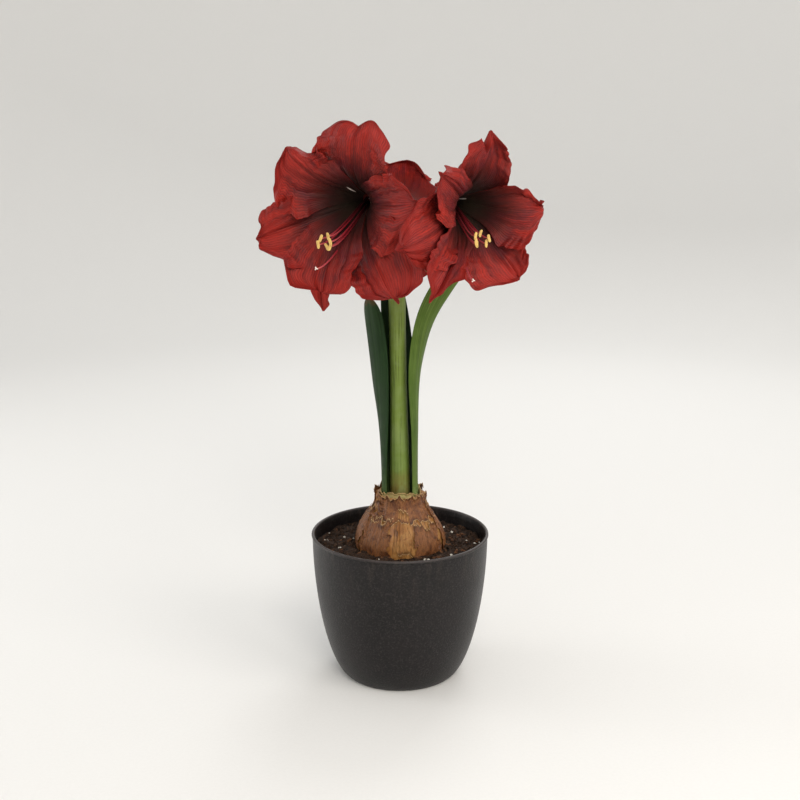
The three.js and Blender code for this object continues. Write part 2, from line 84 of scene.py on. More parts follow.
def only(piece=None):
    """Selects one piece and nothing else, or nothing at all."""
    bpy.ops.object.select_all(action="DESELECT")
    if piece:
        piece.select_set(True)
        bpy.context.view_layer.objects.active = piece


def joined(pieces):
    only(pieces[0])
    for piece in pieces:
        piece.select_set(True)
    bpy.ops.object.join()
    return bpy.context.object


def modify(piece, kind, **settings):
    """Adds a modifier, sets it and applies it."""
    only(piece)
    bpy.ops.object.modifier_add(type=kind)
    modifier = piece.modifiers[-1]
    for key, value in settings.items():
        setattr(modifier, key, value)
    bpy.ops.object.modifier_apply(modifier=modifier.name)


def keep(piece, name, stands_for, slot, *materials, angle=50):
    """Names and smooths a finished piece, settles it in its mesh and ties it to the plant."""
    only(piece)
    bpy.ops.object.transform_apply(location=True, rotation=True, scale=True)
    bpy.ops.object.shade_smooth_by_angle(angle=math.radians(angle))
    piece.name = piece.data.name = name
    if materials:
        piece.data.materials.clear()
        for material in materials:
            piece.data.materials.append(material)
    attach(piece, "root")
    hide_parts(stands_for)
    print(f"{name}: {len(piece.data.polygons)} faces")


# %% [markdown]
# Most of a plant is made of blades and rods that no primitive has. So a grid is added and its points
# are moved by a rule, which gives the place of the point that lies s of the way up the grid (0 to 1)
# and u across it (-1 to 1). A rule may roll the grid up into a tube. Then its seam is welded and its
# ends are filled.

# %% Helpers for grids
WELD = 0.01 * MM


def bent_grid(columns, rows, rule, uv_name=None, uv=None):
    """Adds a grid and moves its points to rule(s, u). uv(s, u) may give it a UV map of its own."""
    only()
    bpy.ops.mesh.primitive_grid_add(x_subdivisions=columns, y_subdivisions=rows, size=2, calc_uvs=True)
    piece = bpy.context.object
    points = np.empty(len(piece.data.vertices) * 3)
    piece.data.vertices.foreach_get("co", points)
    u, s = points[0::3].copy(), (points[1::3] + 1) / 2
    piece.data.vertices.foreach_set("co", (rule(s, u) * MM).ravel())
    if uv:
        corners = np.empty(len(piece.data.loops), dtype=np.int32)
        piece.data.loops.foreach_get("vertex_index", corners)
        piece.data.uv_layers[0].data.foreach_set("uv", np.stack(uv(s, u), -1)[corners].ravel())
    if uv_name:
        piece.data.uv_layers[0].name = uv_name
    piece.data.update()
    return piece


def closed(piece):
    """Welds the seam and the poles of a rolled grid, and fills its open ends."""
    only(piece)
    bpy.ops.object.mode_set(mode="EDIT")
    bpy.ops.mesh.select_all(action="SELECT")
    bpy.ops.mesh.remove_doubles(threshold=WELD)
    bpy.ops.mesh.dissolve_degenerate(threshold=WELD / 2)
    bpy.ops.mesh.fill_holes(sides=0)
    bpy.ops.mesh.normals_make_consistent(inside=False)
    bpy.ops.object.mode_set(mode="OBJECT")
    return piece


def around(radius, angle, height):
    """Points at a radius and an angle round the Z axis."""
    return np.stack([radius * np.cos(angle), radius * np.sin(angle), height], -1)


def oval(wide, deep, u):
    """The section of a rod, wide and deep from its middle. u runs once round it."""
    return wide * np.cos(np.pi * u), deep * np.sin(np.pi * u)


def bezier(a, b, c, d, t):
    k = 1 - t
    return a * k**3 + 3 * b * t * k**2 + 3 * c * t**2 * k + d * t**3


def curve(*points):
    """A line(s) along the Bezier curve of four points."""
    a, b, c, d = (np.array(p, float) for p in points)
    return lambda s: bezier(a, b, c, d, s[:, None])


def unit(vectors):
    return vectors / np.linalg.norm(vectors, axis=-1, keepdims=True)


def swept(line, outer, section):
    """A rule: section(s, u) gives a point's place across the line and out towards outer(s)."""
    step = 0.005

    def rule(s, u):
        along = unit(line(s + step) - line(s - step))
        out = outer(s) + 0 * along
        out = unit(out - along * np.sum(out * along, -1, keepdims=True))
        across = np.cross(along, out)
        x, y = section(s, u)
        return line(s) + across * x[:, None] + out * y[:, None]

    return rule


# %% [markdown]
# ## Helpers for materials
# A material is a graph of nodes. One function adds any node: values go to its inputs in their order,
# or by name, and its output is given back, ready to be an input of the next. Colours are written as
# sRGB hex codes, and patterns are sized in millimetres. Nature paints in coats: a base colour first,
# then streaks, blotches and wax over it, each only where its own pattern is strong. A few coats are
# painted light and shade instead, and the comments where they are laid say so.

# %% Helpers for materials
def colour(code):
    """An sRGB code such as "8a2527" as linear red, green, blue and alpha."""
    parts = [int(code[i : i + 2], 16) / 255 for i in (0, 2, 4)]
    return (*[c / 12.92 if c <= 0.04045 else ((c + 0.055) / 1.055) ** 2.4 for c in parts], 1)


def grain(size):
    """The scale of a pattern whose features are this many millimetres across."""
    return 1 / (size * MM)


def node(owner, kind, *inputs, out=None, stops=None, **settings):
    tree = owner.node_tree
    made = tree.nodes.new("ShaderNode" + kind)
    named = {key: value for key, value in settings.items() if not hasattr(made, key)}
    for key in settings.keys() - named.keys():
        setattr(made, key, settings[key])
    plugs = list(zip([socket for socket in made.inputs if socket.enabled], inputs))
    plugs += [(made.inputs[key.replace("_", " ")], value) for key, value in named.items()]
    for socket, value in plugs:
        if isinstance(value, bpy.types.NodeSocket):
            tree.links.new(value, socket)
        elif value is not None:
            socket.default_value = value
    if stops:
        row = made.color_ramp.elements
        row[0].position, row[1].position = stops[0][0], stops[-1][0]
        for place, code in stops[1:-1]:
            row.new(place)
        for element, (place, code) in zip(row, stops):
            element.color = colour(code)
    return made.outputs[out] if out else next((s for s in made.outputs if s.enabled), None)


def new_material(name):
    material = bpy.data.materials.new(name)
    material.use_nodes = True
    material.node_tree.nodes.clear()
    print("finish:", name)
    return material


def coated(m, base, *coats, within=None):
    """Lays coats over a base colour. From low to high in its pattern, a coat's share goes from least to
    most, and "within" thins it out."""
    for pattern, low, high, least, most, code in coats:
        share = node(m, "MapRange", pattern, low, high, least, most, interpolation_type="SMOOTHSTEP")
        if within:
            share = node(m, "Math", share, within, operation="MULTIPLY")
        base = node(m, "Mix", share, base, colour(code), data_type="RGBA")
    return base


# %% [markdown]
# ## Petal skin
# A petal's skin is a layer of tiny domed cells, like velvet: it swallows light where it faces you and
# takes a cool lilac bloom where it turns away, which sheen gives. Random purple patches in its
# mid-zone add a painted lilac sheen to its colour. Fine veins run from the throat to the margin. Their
# number stays the same while the petal widens, so they are drawn across the petal's own UV map and not
# in space. Between them the skin is drawn up into silky crepe, with a painted highlight on its crests
# and painted shade in its hollows, and dark painted shadow streaks run along it. The throat is nearly
# black. The outer face is green at its foot.

# %% Petal skin
PETAL_WIDTH = 80
VEIN_SPACING = 2.2  # the real ones lie 1.5 mm apart, too fine to show from here
WAVE_PERIOD = 2 * math.pi / 20


def petal_skin(name, stops, veins, sheen, shine):
    m = new_material(name)
    place = node(m, "TexCoord", out="Object")
    uv = node(m, "UVMap", uv_map="petal")
    across = node(m, "SeparateXYZ", uv, out="X")
    along = node(m, "SeparateXYZ", uv, out="Y")
    scale = WAVE_PERIOD * PETAL_WIDTH / VEIN_SPACING
    wobble = dict(Distortion=1.6, Detail=2.0, Detail_Scale=0.25, Detail_Roughness=0.6)
    wave = node(m, "TexWave", uv, scale, **wobble)
    vein = node(m, "Math", wave, 2.0, operation="POWER")
    lengthwise = node(m, "Mapping", uv, Scale=(PETAL_WIDTH / 1.3, 15, 1))
    crepe = node(m, "TexNoise", lengthwise, 1.0, 4.0, 0.72)
    broad = node(m, "Mapping", uv, Scale=(PETAL_WIDTH / 8, 2.6, 1))
    streak = node(m, "TexNoise", broad, 1.0, 4.0, 0.6)
    patch = node(m, "TexNoise", place, grain(22), 4.0, 0.6)

    # The margins reach their full red sooner than the midrib, and no two petals at the same place.
    edge = node(m, "Math", node(m, "Math", across, 0.5, operation="SUBTRACT"), operation="ABSOLUTE")
    start = node(m, "Math", along, 0.08, operation="SUBTRACT")
    start = node(m, "Math", streak, 0.2, start, operation="MULTIPLY_ADD")
    start = node(m, "Math", edge, 0.12, start, operation="MULTIPLY_ADD")
    base = node(m, "ValToRGB", start, stops=stops)
    # In the mid-zone, random purple patches are painted sheen: a lilac cast laid into the colour.
    middle = node(m, "MapRange", along, 0.9, 0.5, 0.25, 1.0)
    middle = node(m, "Math", middle, node(m, "MapRange", along, 0.22, 0.42), operation="MULTIPLY")
    painted_lilac_sheen = patch, 0.44, 0.7, 0.0, 0.6, "561a24"
    base = coated(m, base, painted_lilac_sheen, within=middle)
    scarlet = streak, 0.5, 0.68, 0.0, 0.45, "b0281a"
    # The dark maroon streaks are painted shadow streaks.
    painted_shadow_streak = streak, 0.3, 0.48, 0.55, 0.0, "3c0b0d"
    # The crests of the crepe get a painted highlight, from the same noise as the bump.
    painted_crest_highlight = crepe, 0.52, 0.7, 0.0, 0.5, "b5392e"
    base = coated(m, base, scarlet, painted_shadow_streak, painted_crest_highlight, within=node(m, "MapRange", along, 0.3, 0.55))
    # The hollows of the crepe get painted shade, from the same noise as the bump.
    painted_hollow_shade = crepe, 0.3, 0.46, 0.3, 0.0, "2a0809"
    base = coated(m, base, painted_hollow_shade)
    dark = node(m, "MapRange", patch, 0.36, 0.62, 0.5 * veins, veins)
    dark = node(m, "Math", vein, dark, operation="MULTIPLY")
    dark = node(m, "Math", dark, node(m, "MapRange", along, 0.0, 0.2, 0.25, 1.0), operation="MULTIPLY")
    base = node(m, "Mix", dark, base, colour("1f0507"), data_type="RGBA")

    height = node(m, "Math", vein, -0.7, crepe, operation="MULTIPLY_ADD")
    bump = node(m, "Bump", Height=height, Strength=0.75, Distance=0.4 * MM)
    rough = node(m, "MapRange", crepe, 0.3, 0.7, 0.42, 0.62)
    skin = node(
        m, "BsdfPrincipled", Base_Color=base, Roughness=rough, Normal=bump, IOR=1.4,
        Specular_IOR_Level=shine, Sheen_Weight=sheen, Sheen_Roughness=0.35, Sheen_Tint=colour("a8505e"),
        Subsurface_Weight=0.06, Subsurface_Scale=1.5 * MM, Subsurface_Radius=(1.0, 0.2, 0.15),
    )
    node(m, "OutputMaterial", skin)
    return m


INNER_STOPS = [
    (0.0, "343324"), (0.2, "2c231b"), (0.3, "321a16"), (0.4, "4c1a16"), (0.54, "7a1f19"),
    (0.74, "95241c"), (1.0, "92231c"),
]
OUTER_STOPS = [
    (0.0, "74873f"), (0.04, "7a7a3a"), (0.1, "6b4129"), (0.17, "5a2019"), (0.36, "611813"),
    (0.62, "781b15"), (1.0, "861e17"),
]
petal_inside = petal_skin("petal_velvet_inside", INNER_STOPS, 0.44, 0.08, 0.28)
petal_outside = petal_skin("petal_satin_outside", OUTER_STOPS, 0.34, 0.04, 0.12)

# %% [markdown]
# ## The shape of a petal
# A petal stands upright in the throat, swings outwards and ends in a small beak. Its midrib is a
# Bezier curve in radius and height round the flower's own axis, and the blade is wrapped round that
# axis, so that six petals close to a funnel. Bends are then added along the blade's normal: the layer
# it lies in, the roll and ruffle of its margins, its buckles, and the hook of its tip.
#
# A petal's habit is a handful of values, in mm, degrees and shares. "spread" and "shoulder" say how far
# out and how high the midrib turns over. The blade is widest at "full", its outline ends at "end", and
# "blunt" rounds it off. "fold" closes the blade along its midrib, "skew" makes one half wider than the
# other, and "bow" turns the tip aside. No petal grows quite even: "lobes" gives places across the
# blade, and how much further it reaches there, and "flanks" gives places along a margin (-1 or 1), and
# how much wider it is there.

# %% A petal's rule
HABIT = dict(
    spread=48, shoulder=80, full=0.66, blunt=1.7, end=0.955, roll=0.06, ruffle=6, beak=7, hook=-5, fold=0,
    skew=0, bow=0, lobes=(), flanks=(),
)


def slope(a, b, c, d, t):
    k = 1 - t
    return 3 * (b - a) * k**2 + 6 * (c - b) * t * k + 3 * (d - c) * t**2


def petal_half_width(p, s, r):
    grown = np.clip(s / p["end"], 0, 1)
    above = np.clip((grown - p["full"]) / (1 - p["full"]), 0, 1)
    below = np.clip((p["full"] - grown) / p["full"], 0, 1)
    outline = np.where(above > 0, (1 - above**2.6) ** (1 / p["blunt"]), 1 - 0.3 * below**2)
    beak = p["beak"] * np.clip((1 - s) / 0.1, 0, 1) ** 0.8
    wanted = np.hypot(p["half"] * outline, beak) + 0.3
    return (wanted**-4 + (0.92 * r) ** -4) ** -0.25


def petal_points(habit, order, s, u):
    """Points in the flower's frame, in mm. s runs from foot to tip, u from margin to margin."""
    p = {**HABIT, **habit}
    rib, rise = (5, 12, p["spread"], p["reach"]), (0, 54, p["shoulder"], p["depth"])
    half = petal_half_width(p, s, bezier(*rib, s))
    reach = s.copy()
    for across, longer, width in p["lobes"]:
        reach += longer * np.exp(-(((half * u - across) / width) ** 2)) * smooth(0.7, 1, s)
    r, z = bezier(*rib, reach), bezier(*rise, reach)
    dr, dz = slope(*rib, reach), slope(*rise, reach)
    length = np.hypot(dr, dz)
    margin, side = np.abs(u), np.sign(u)
    phase = order * 1.9 + 0.5
    free = smooth(0.38, 0.74, s) * (1 - 0.85 * smooth(0.93, 1, s))
    wavy = smooth(0.3, 0.7, s) * (1 - smooth(0.85, 1, s)) * (1 - margin**2 / 2)
    bends = p["layer"] * (0.8 + 2.6 * smooth(0.2, 0.6, s))
    bends = bends + p["roll"] * half * margin**2 * smooth(0.15, 0.6, s)
    bends = bends + p["ruffle"] * margin**2.6 * free * np.sin(2 * np.pi * 2.7 * s + phase + side * 1.3)
    bends = bends + 2.6 * wavy * np.sin(4.7 * u + phase) + p["hook"] * smooth(0.84, 1, s) ** 2
    bends = bends + p["fold"] * half * margin**1.3 * smooth(0.3, 0.7, s)
    bends = bends + fine_bends(phase, s, u)
    lopsided = 1 + p["skew"] * side * smooth(0.3, 0.65, s) + frill(phase, s, side)
    for along, span, margin_side, wider in p["flanks"]:
        lopsided = lopsided + wider * np.exp(-(((s - along) / span) ** 2)) * (side == margin_side)
    turn = np.radians(p["turn"] + p["bow"] * smooth(0.6, 1, s) ** 1.5) + half * u * lopsided / r
    return around(r - dz / length * bends, turn, z + dr / length * bends)


# %% [markdown]
# The solid model has the large waves. The living petal adds what is too fine for it: a crinkled
# margin with small nicks, a groove along the midrib, and shallow creases that fan out with the veins.

# %% A petal's fine bends
def fine_bends(phase, s, u):
    margin, side = np.abs(u), np.sign(u)
    loose = smooth(0.42, 0.8, s) * (1 - 0.7 * smooth(0.95, 1, s))
    crinkle = 2.3 * margin**4 * loose * np.sin(2 * np.pi * 7.3 * s + 2.3 * phase + 2.2 * side)
    drift = 5.1 * phase + 1.1 * side + 2 * np.sin(9 * s)
    pleat = 1.1 * margin**3 * loose * np.sin(2 * np.pi * 15.1 * s + drift)
    groove = -1.3 * np.exp(-((u / 0.045) ** 2)) * smooth(0.1, 0.4, s) * (1 - smooth(0.85, 1, s))
    free = smooth(0.25, 0.6, s) * (1 - margin**4)
    fan = 0.55 * free * np.sin(21 * u + 3 * phase + 2.4 * np.sin(5 * s))
    creases = 0.6 * np.sin([phase, 2 * phase + 1])
    crease = -1.2 * free * sum(np.exp(-(((u - at - 0.08 * s) / 0.035) ** 2)) for at in creases)
    return crinkle + pleat + groove + fan + crease


def frill(phase, s, side):
    """Scallops and small nicks in the margin, as a share of the half width."""
    loose = smooth(0.45, 0.68, s) * (1 - smooth(0.95, 1, s))
    turns = 2 * np.pi * s
    waves = 0.05 * np.sin(3.7 * turns + 1.7 * phase + 2 * side)
    scallops = 0.034 * np.sin(9.1 * turns + 3.3 * phase + side + 1.5 * np.sin(2.3 * turns + phase))
    nicks = 0.014 * np.sin(19.3 * turns + 5 * phase + 2.6 * side)
    return (waves + scallops + nicks) * loose


# %% [markdown]
# ## The flowers' plan
# Each flower has a place for its foot, a way to face and six petals in two layers: three outer ones,
# and three inner ones in front of them. "turn" is a petal's angle round the flower, "half" is half its
# width, and "reach" and "depth" place its tip from the flower's axis and foot. "anthers" and "stigma"
# are places in the flower's own frame, and the throat scales are listed by their angle and the stretch
# of the petals that each lies on; these white slivers are partly crown scales and partly a painted
# highlight.

# %% The flowers' plan
FLOWERS = [
    dict(
        name="front_left",
        foot=(-27, -14, 488), facing=(-0.38, -0.92, -0.08), anthers=(-3.5, -25, 96), stigma=(-9, -47, 107),
        glint_scales=[(109, 0.19, 0.32), (20, 0.1, 0.16)],
        petals=[
            dict(
                turn=74, layer=-1, half=39, reach=77.5, depth=84, full=0.78, blunt=3.4, end=1, roll=-0.1,
                beak=0, hook=-9, lobes=[(31, -0.085, 9), (0, -0.045, 4), (-13, 0.11, 9), (-25, 0.03, 6)],
            ),
            dict(
                turn=130, layer=1, half=41, reach=73, depth=80, full=0.74, blunt=2, roll=-0.1, beak=8,
                skew=0.36, lobes=[(-25, -0.2, 9), (-16, -0.08, 4), (22, -0.05, 6)],
            ),
            dict(
                turn=199, layer=-1, half=36, reach=86, depth=87.5, full=0.74, blunt=2.2, skew=0.25,
                lobes=[(-12, -0.04, 4), (7, 0.055, 4), (23, -0.07, 6)],
            ),
            dict(
                turn=256, layer=1, half=40, reach=93, depth=86.5, full=0.8, blunt=3, end=0.87, hook=-8,
                beak=6, skew=-0.1, bow=4, lobes=[(-24, 0.1, 9)], flanks=[(0.84, 0.06, -1, 0.2)],
            ),
            dict(
                turn=304, layer=-1.7, half=42, reach=97, depth=85.5, full=0.74, blunt=1.6, skew=0.25,
                lobes=[(32, 0.175, 12), (13, 0.065, 10)],
            ),
            dict(
                turn=8, layer=1, half=43, reach=82.5, depth=80, full=0.7, blunt=2, roll=-0.05, hook=-1,
                shoulder=74, skew=-0.28, lobes=[(-5, 0.02, 6), (-30, -0.17, 11)],
            ),
        ],
    ),
    dict(
        name="front_right",
        foot=(44, -14, 486), facing=(0.44, -0.89, -0.1), anthers=(-16, -18, 96), stigma=(-27, -52, 107),
        glint_scales=[(35, 0.1, 0.175), (118, 0.16, 0.22)],
        petals=[
            dict(
                turn=90, layer=-1, half=33, reach=74, depth=82, full=0.55, blunt=1.4, end=0.9, roll=0.08,
                beak=7, skew=0.15, lobes=[(3.4, -0.17, 2.2), (12, -0.02, 5)],
                flanks=[(0.45, 0.16, -1, 0.32), (0.74, 0.07, 1, 0.2)],
            ),
            dict(
                turn=4, layer=1, half=34, reach=64.5, depth=72.5, full=0.62, blunt=1.2, beak=8, skew=-0.4,
                lobes=[(6, -0.09, 6)],
                flanks=[(0.58, 0.12, 1, 0.36), (0.85, 0.06, 1, -0.4), (0.86, 0.07, -1, -0.42)],
            ),
            dict(
                turn=304, layer=-1, half=37, reach=77, depth=80, full=0.74, blunt=2.4, skew=-0.48,
                lobes=[(31, -0.1, 7), (-17, -0.05, 8), (-31, 0.06, 5)],
            ),
            dict(
                turn=234, layer=1, half=23, reach=95, depth=83, full=0.64, blunt=1.3, fold=0.2, skew=-0.45,
                flanks=[(0.89, 0.055, -1, 0.95), (0.7, 0.1, -1, -0.2), (0.86, 0.07, 1, -0.35)],
            ),
            dict(
                turn=196, layer=-0.4, half=42, reach=96.5, depth=90, full=0.7, shoulder=86, ruffle=5,
                skew=-0.15,
            ),
            dict(
                turn=146, layer=1, half=25, reach=79.5, depth=96, full=0.64, roll=-0.1, beak=6,
                hook=4, spread=40, shoulder=90, ruffle=5, skew=0.35,
            ),
        ],
    ),
    dict(
        name="rear",
        foot=(2, 27, 474), facing=(0.1, 0.97, -0.2), anthers=(2, -22, 96), stigma=(-4, -40, 106),
        glint_scales=[(118, 0.16, 0.25), (56, 0.1, 0.17)],
        petals=[
            dict(
                turn=85, layer=-1, half=41, reach=60, depth=76.5, blunt=2.2, hook=-6, ruffle=5, skew=-0.12,
                lobes=[(32, -0.44, 17), (-21, 0.28, 5)], flanks=[(0.76, 0.14, 1, -0.16)],
            ),
            dict(turn=158, layer=1, half=38, reach=72, depth=80, ruffle=5, skew=0.25),
            dict(turn=210, layer=-1, half=42, reach=77, depth=82, ruffle=5),
            dict(turn=268, layer=1, half=36, reach=69, depth=80, ruffle=5),
            dict(turn=330, layer=-1, half=42, reach=77, depth=82, ruffle=5),
            dict(turn=28, layer=1, half=42, reach=76, depth=80, ruffle=5),
        ],
    ),
]


def ahead_of(flower):
    return unit(np.array(flower["facing"], float))


def in_place(flower, rule):
    """Carries a rule from a flower's own frame to the plant's: Z is the way it faces and Y is up."""
    ahead = ahead_of(flower)
    up = unit(np.array([0, 0, 1.0]) - ahead * ahead[2])
    axes = np.stack([np.cross(up, ahead), up, ahead])
    return lambda s, u: rule(s, u) @ axes + np.array(flower["foot"], float)


def keep_on(flower, piece, kind, *materials, order=""):
    """Keeps a piece of a flower, named for its kind and its flower."""
    keep(piece, f"{kind}_{flower['name']}{order}", "bloom_" + flower["name"], "petal", *materials)


for flower in FLOWERS:
    foot, longest = flower["foot"], max(petal["reach"] for petal in flower["petals"])
    print(f"flower {flower['name']}: foot at {foot} mm, petals reach {longest} mm from its axis")


# %% [markdown]
# ## Making the petals
# Each petal is a grid bent by its rule, with its rows closer together towards the ruffled tip. Solidify
# gives the sheet its thickness, and its other face the second material.

# %% Making the petals
PETAL_ROWS, PETAL_COLUMNS = 110, 52
PETAL_THICKNESS = 0.6

for flower in FLOWERS:
    for order, habit in enumerate(flower["petals"]):
        rule = in_place(flower, lambda s, u: petal_points(habit, order, 1 - (1 - s) ** 1.5, u))
        petal = bent_grid(PETAL_COLUMNS, PETAL_ROWS, rule, "petal")
        petal.data.materials.append(petal_outside)
        petal.data.materials.append(petal_inside)
        modify(petal, "SOLIDIFY", thickness=PETAL_THICKNESS * MM, offset=0, material_offset=1)
        keep_on(flower, petal, "petal", order=f"_{order + 1}")

# %% [markdown]
# The petals' feet are joined to a short fleshy tube, which closes the funnel over the ovary.

# %% Making the throats
THROAT = np.array([(0, -0.1), (4.6, -0.1), (5.5, 0.8), (6.2, 4), (6.3, 7.4), (5.6, 8.2), (0, 7.6)])


def throat(s, u):
    share = np.linspace(0, 1, len(THROAT))
    radius, height = np.interp(s, share, THROAT[:, 0]), np.interp(s, share, THROAT[:, 1])
    return around(radius * (1 + 0.04 * np.cos(3 * np.pi * u)), np.pi * u, height)


for flower in FLOWERS:
    tube = bent_grid(36, 18, in_place(flower, throat), "petal", lambda s, u: ((u + 1) / 2, 0.15 * s))
    keep_on(flower, closed(tube), "throat", petal_outside)

# %% [markdown]
# ## Stamens and style
# Six filaments and one longer style rise from the throat, sag along the lower petals and lift their
# tips. They are the same flesh as the petals: nearly black in the throat, pink towards the tip. Each
# carries a yellow anther of two pollen sacs, and the style a small white stigma of three lobes. Pollen
# and the stigma's velvet are fine grains, so both are matt; their colour is deeper between the grains,
# which is painted shade.

# %% Filament, anther and stigma finishes
def filament_flesh():
    m = new_material("filament_flesh_glossy")
    uv = node(m, "UVMap", uv_map="filament")
    along = node(m, "SeparateXYZ", uv, out="Y")
    stops = [(0.0, "17080a"), (0.3, "4a0d14"), (0.6, "94202c"), (0.9, "c0545a"), (1.0, "cf7d72")]
    base = node(m, "ValToRGB", along, stops=stops)
    ridges = node(m, "TexNoise", node(m, "Mapping", uv, Scale=(9, 30, 1)), 1.0, 2.0)
    bump = node(m, "Bump", Height=ridges, Strength=0.4, Distance=0.1 * MM)
    skin = node(m, "BsdfPrincipled", Base_Color=base, Roughness=0.38, Normal=bump, Subsurface_Weight=0.1,
                Subsurface_Scale=1.0 * MM)
    node(m, "OutputMaterial", skin)
    return m


def pollen(name, light, deep, rough, size):
    """A powder of grains: pale on the high grains, with painted shade deeper between them, and quite matt.
    """
    m = new_material(name)
    place = node(m, "TexCoord", out="Object")
    grains = node(m, "TexVoronoi", place, grain(size))
    cloud = node(m, "TexNoise", place, grain(2.2), 2.0)
    # The colour is deeper where the bump is low, between the grains: painted shade.
    share = node(m, "Math", grains, cloud, operation="MULTIPLY")
    base = node(m, "Mix", share, light, deep, data_type="RGBA")
    bump = node(m, "Bump", Height=grains, Strength=0.7, Distance=0.15 * MM, invert=True)
    skin = node(m, "BsdfPrincipled", Base_Color=base, Roughness=rough, Normal=bump)
    node(m, "OutputMaterial", skin)
    return m


filament_skin = filament_flesh()
anther_pollen = pollen("anther_pollen_yellow", colour("e6c373"), colour("9a6a26"), 0.85, 0.35)
stigma_wax = pollen("stigma_papillae_white", colour("f4ece4"), colour("d8b9ae"), 0.5, 0.3)

# %% [markdown]
# A filament is a grid rolled round a sagging line, and an anther one rolled round a short bowed line,
# waisted so that it reads as two sacs. The stigma is a grid rolled up into a ball with three lobes.

# %% Making the stamens
STAMENS = 6
FILAMENT_RADIUS, STYLE_RADIUS = 0.85, 0.95
FILAMENT_FOOT = 5
ANTHER_LENGTH, ANTHER_RADIUS = 7.8, 1.4


def filament(root, tip, radius):
    sag = (mix(root[0], tip[0], 0.25), mix(root[1], tip[1], 0.45) - 2, 42)
    bend = (mix(root[0], tip[0], 0.8), tip[1] - 5, tip[2] - 22)

    def girth(s, u):
        return oval(radius * (1 - 0.3 * s), radius * (1 - 0.3 * s), u)

    return swept(curve(root, sag, bend, tip), lambda s: np.array([1.0, 0, 0]), girth)


def anther(tip, order):
    """Two long sacs side by side on a slightly bowed back."""
    lean, swing = 0.35 * math.sin(2.1 * order), 0.32 * math.cos(1.7 * order)
    axis = np.array([-math.sin(swing) * math.cos(lean), math.cos(swing) * math.cos(lean), math.sin(lean)])
    back = np.array([0, -0.2, 1.0])
    places = [(k, 0.9 * (abs(k) * 4 - 1)) for k in (-0.5, -0.2, 0.2, 0.5)]
    line = curve(*(tip + axis * ANTHER_LENGTH * k + back * bow for k, bow in places))

    def sacs(s, u):
        full = np.sqrt(np.clip(1 - np.abs(2 * s - 1) ** 3.4, 0, 1))
        radius = ANTHER_RADIUS * full * (0.82 + 0.24 * np.cos(2 * np.pi * u))
        return oval(radius, 0.85 * radius, u)

    return swept(line, lambda s: back, sacs)


def stigma(tip):
    def knob(s, u):
        radius = (1.1 + 0.85 * np.cos(3 * np.pi * u + 0.5)) * np.sin(np.pi * s)
        return around(radius, np.pi * u, -np.cos(np.pi * s)) + tip

    return knob


for flower in FLOWERS:
    rods, sacs = [], []
    for k in range(STAMENS):
        angle = math.radians(360 / STAMENS * k + 20)
        root = (2.6 * math.cos(angle), 2.6 * math.sin(angle), FILAMENT_FOOT)
        spread = (6.5 * math.cos(angle), 5 * math.sin(angle), 4 * math.cos(2.3 * k))
        tip = np.array(flower["anthers"]) + spread
        rod = in_place(flower, filament(root, tip, FILAMENT_RADIUS))
        rods.append(closed(bent_grid(10, 30, rod, "filament")))
        sacs.append(closed(bent_grid(20, 14, in_place(flower, anther(tip, k)), "anther")))
    style = in_place(flower, filament((0, -0.5, FILAMENT_FOOT), flower["stigma"], STYLE_RADIUS))
    rods.append(closed(bent_grid(10, 36, style, "filament")))
    knob = closed(bent_grid(24, 12, in_place(flower, stigma(np.array(flower["stigma"])))))
    keep_on(flower, joined(rods), "filaments", filament_skin)
    keep_on(flower, joined(sacs), "anthers", anther_pollen)
    keep_on(flower, knob, "stigma", stigma_wax)

# %% [markdown]
# High in the throat a few narrow white scales lie on the petals, what is left of a crown. Their white
# is also a painted highlight in the throat. Each is a sliver that follows the curve of the funnel and
# thins out towards both ends.

# %% Making the throat scales, partly a painted highlight
FUNNEL_RADIUS, FUNNEL_DEPTH = (5, 12, 48, 76), (0, 54, 80, 84)
SCALE_STANDS_OFF = 2.1


def throat_glint_scale(turn, low, high):
    """A sliver at an angle in degrees, from one share of the petals' length to another."""
    share = mix(low, high, np.linspace(0, 1, 4))
    radius, depth = bezier(*FUNNEL_RADIUS, share) - SCALE_STANDS_OFF, bezier(*FUNNEL_DEPTH, share)
    angle = math.radians(turn)
    outwards = np.array([math.cos(angle), math.sin(angle), 0])
    line = curve(*(outwards * r + (0, 0, z) for r, z in zip(radius, depth)))

    def section(s, u):
        thin = np.sin(np.pi * s) ** 0.7
        return oval(0.85 * thin, 0.35 * thin, u)

    return swept(line, lambda s: -outwards, section)


# The white slivers are partly crown scales and partly a painted highlight.
for flower in FLOWERS:
    rules = [in_place(flower, throat_glint_scale(*scale)) for scale in flower["glint_scales"]]
    slivers = joined([closed(bent_grid(12, 20, rule)) for rule in rules])
    keep_on(flower, slivers, "throat_glint_scales", stigma_wax)

# %% [markdown]
# ## Green flesh
# Scape, stalks and leaves have a smooth waxy cuticle over fibres that run lengthwise. Seen close, the
# fibres are fine pale and dark lines, and the wax is a faint grey bloom that rubs off in patches. So
# the colour follows the piece's UV map, lengthwise, and the bloom follows its place in space.

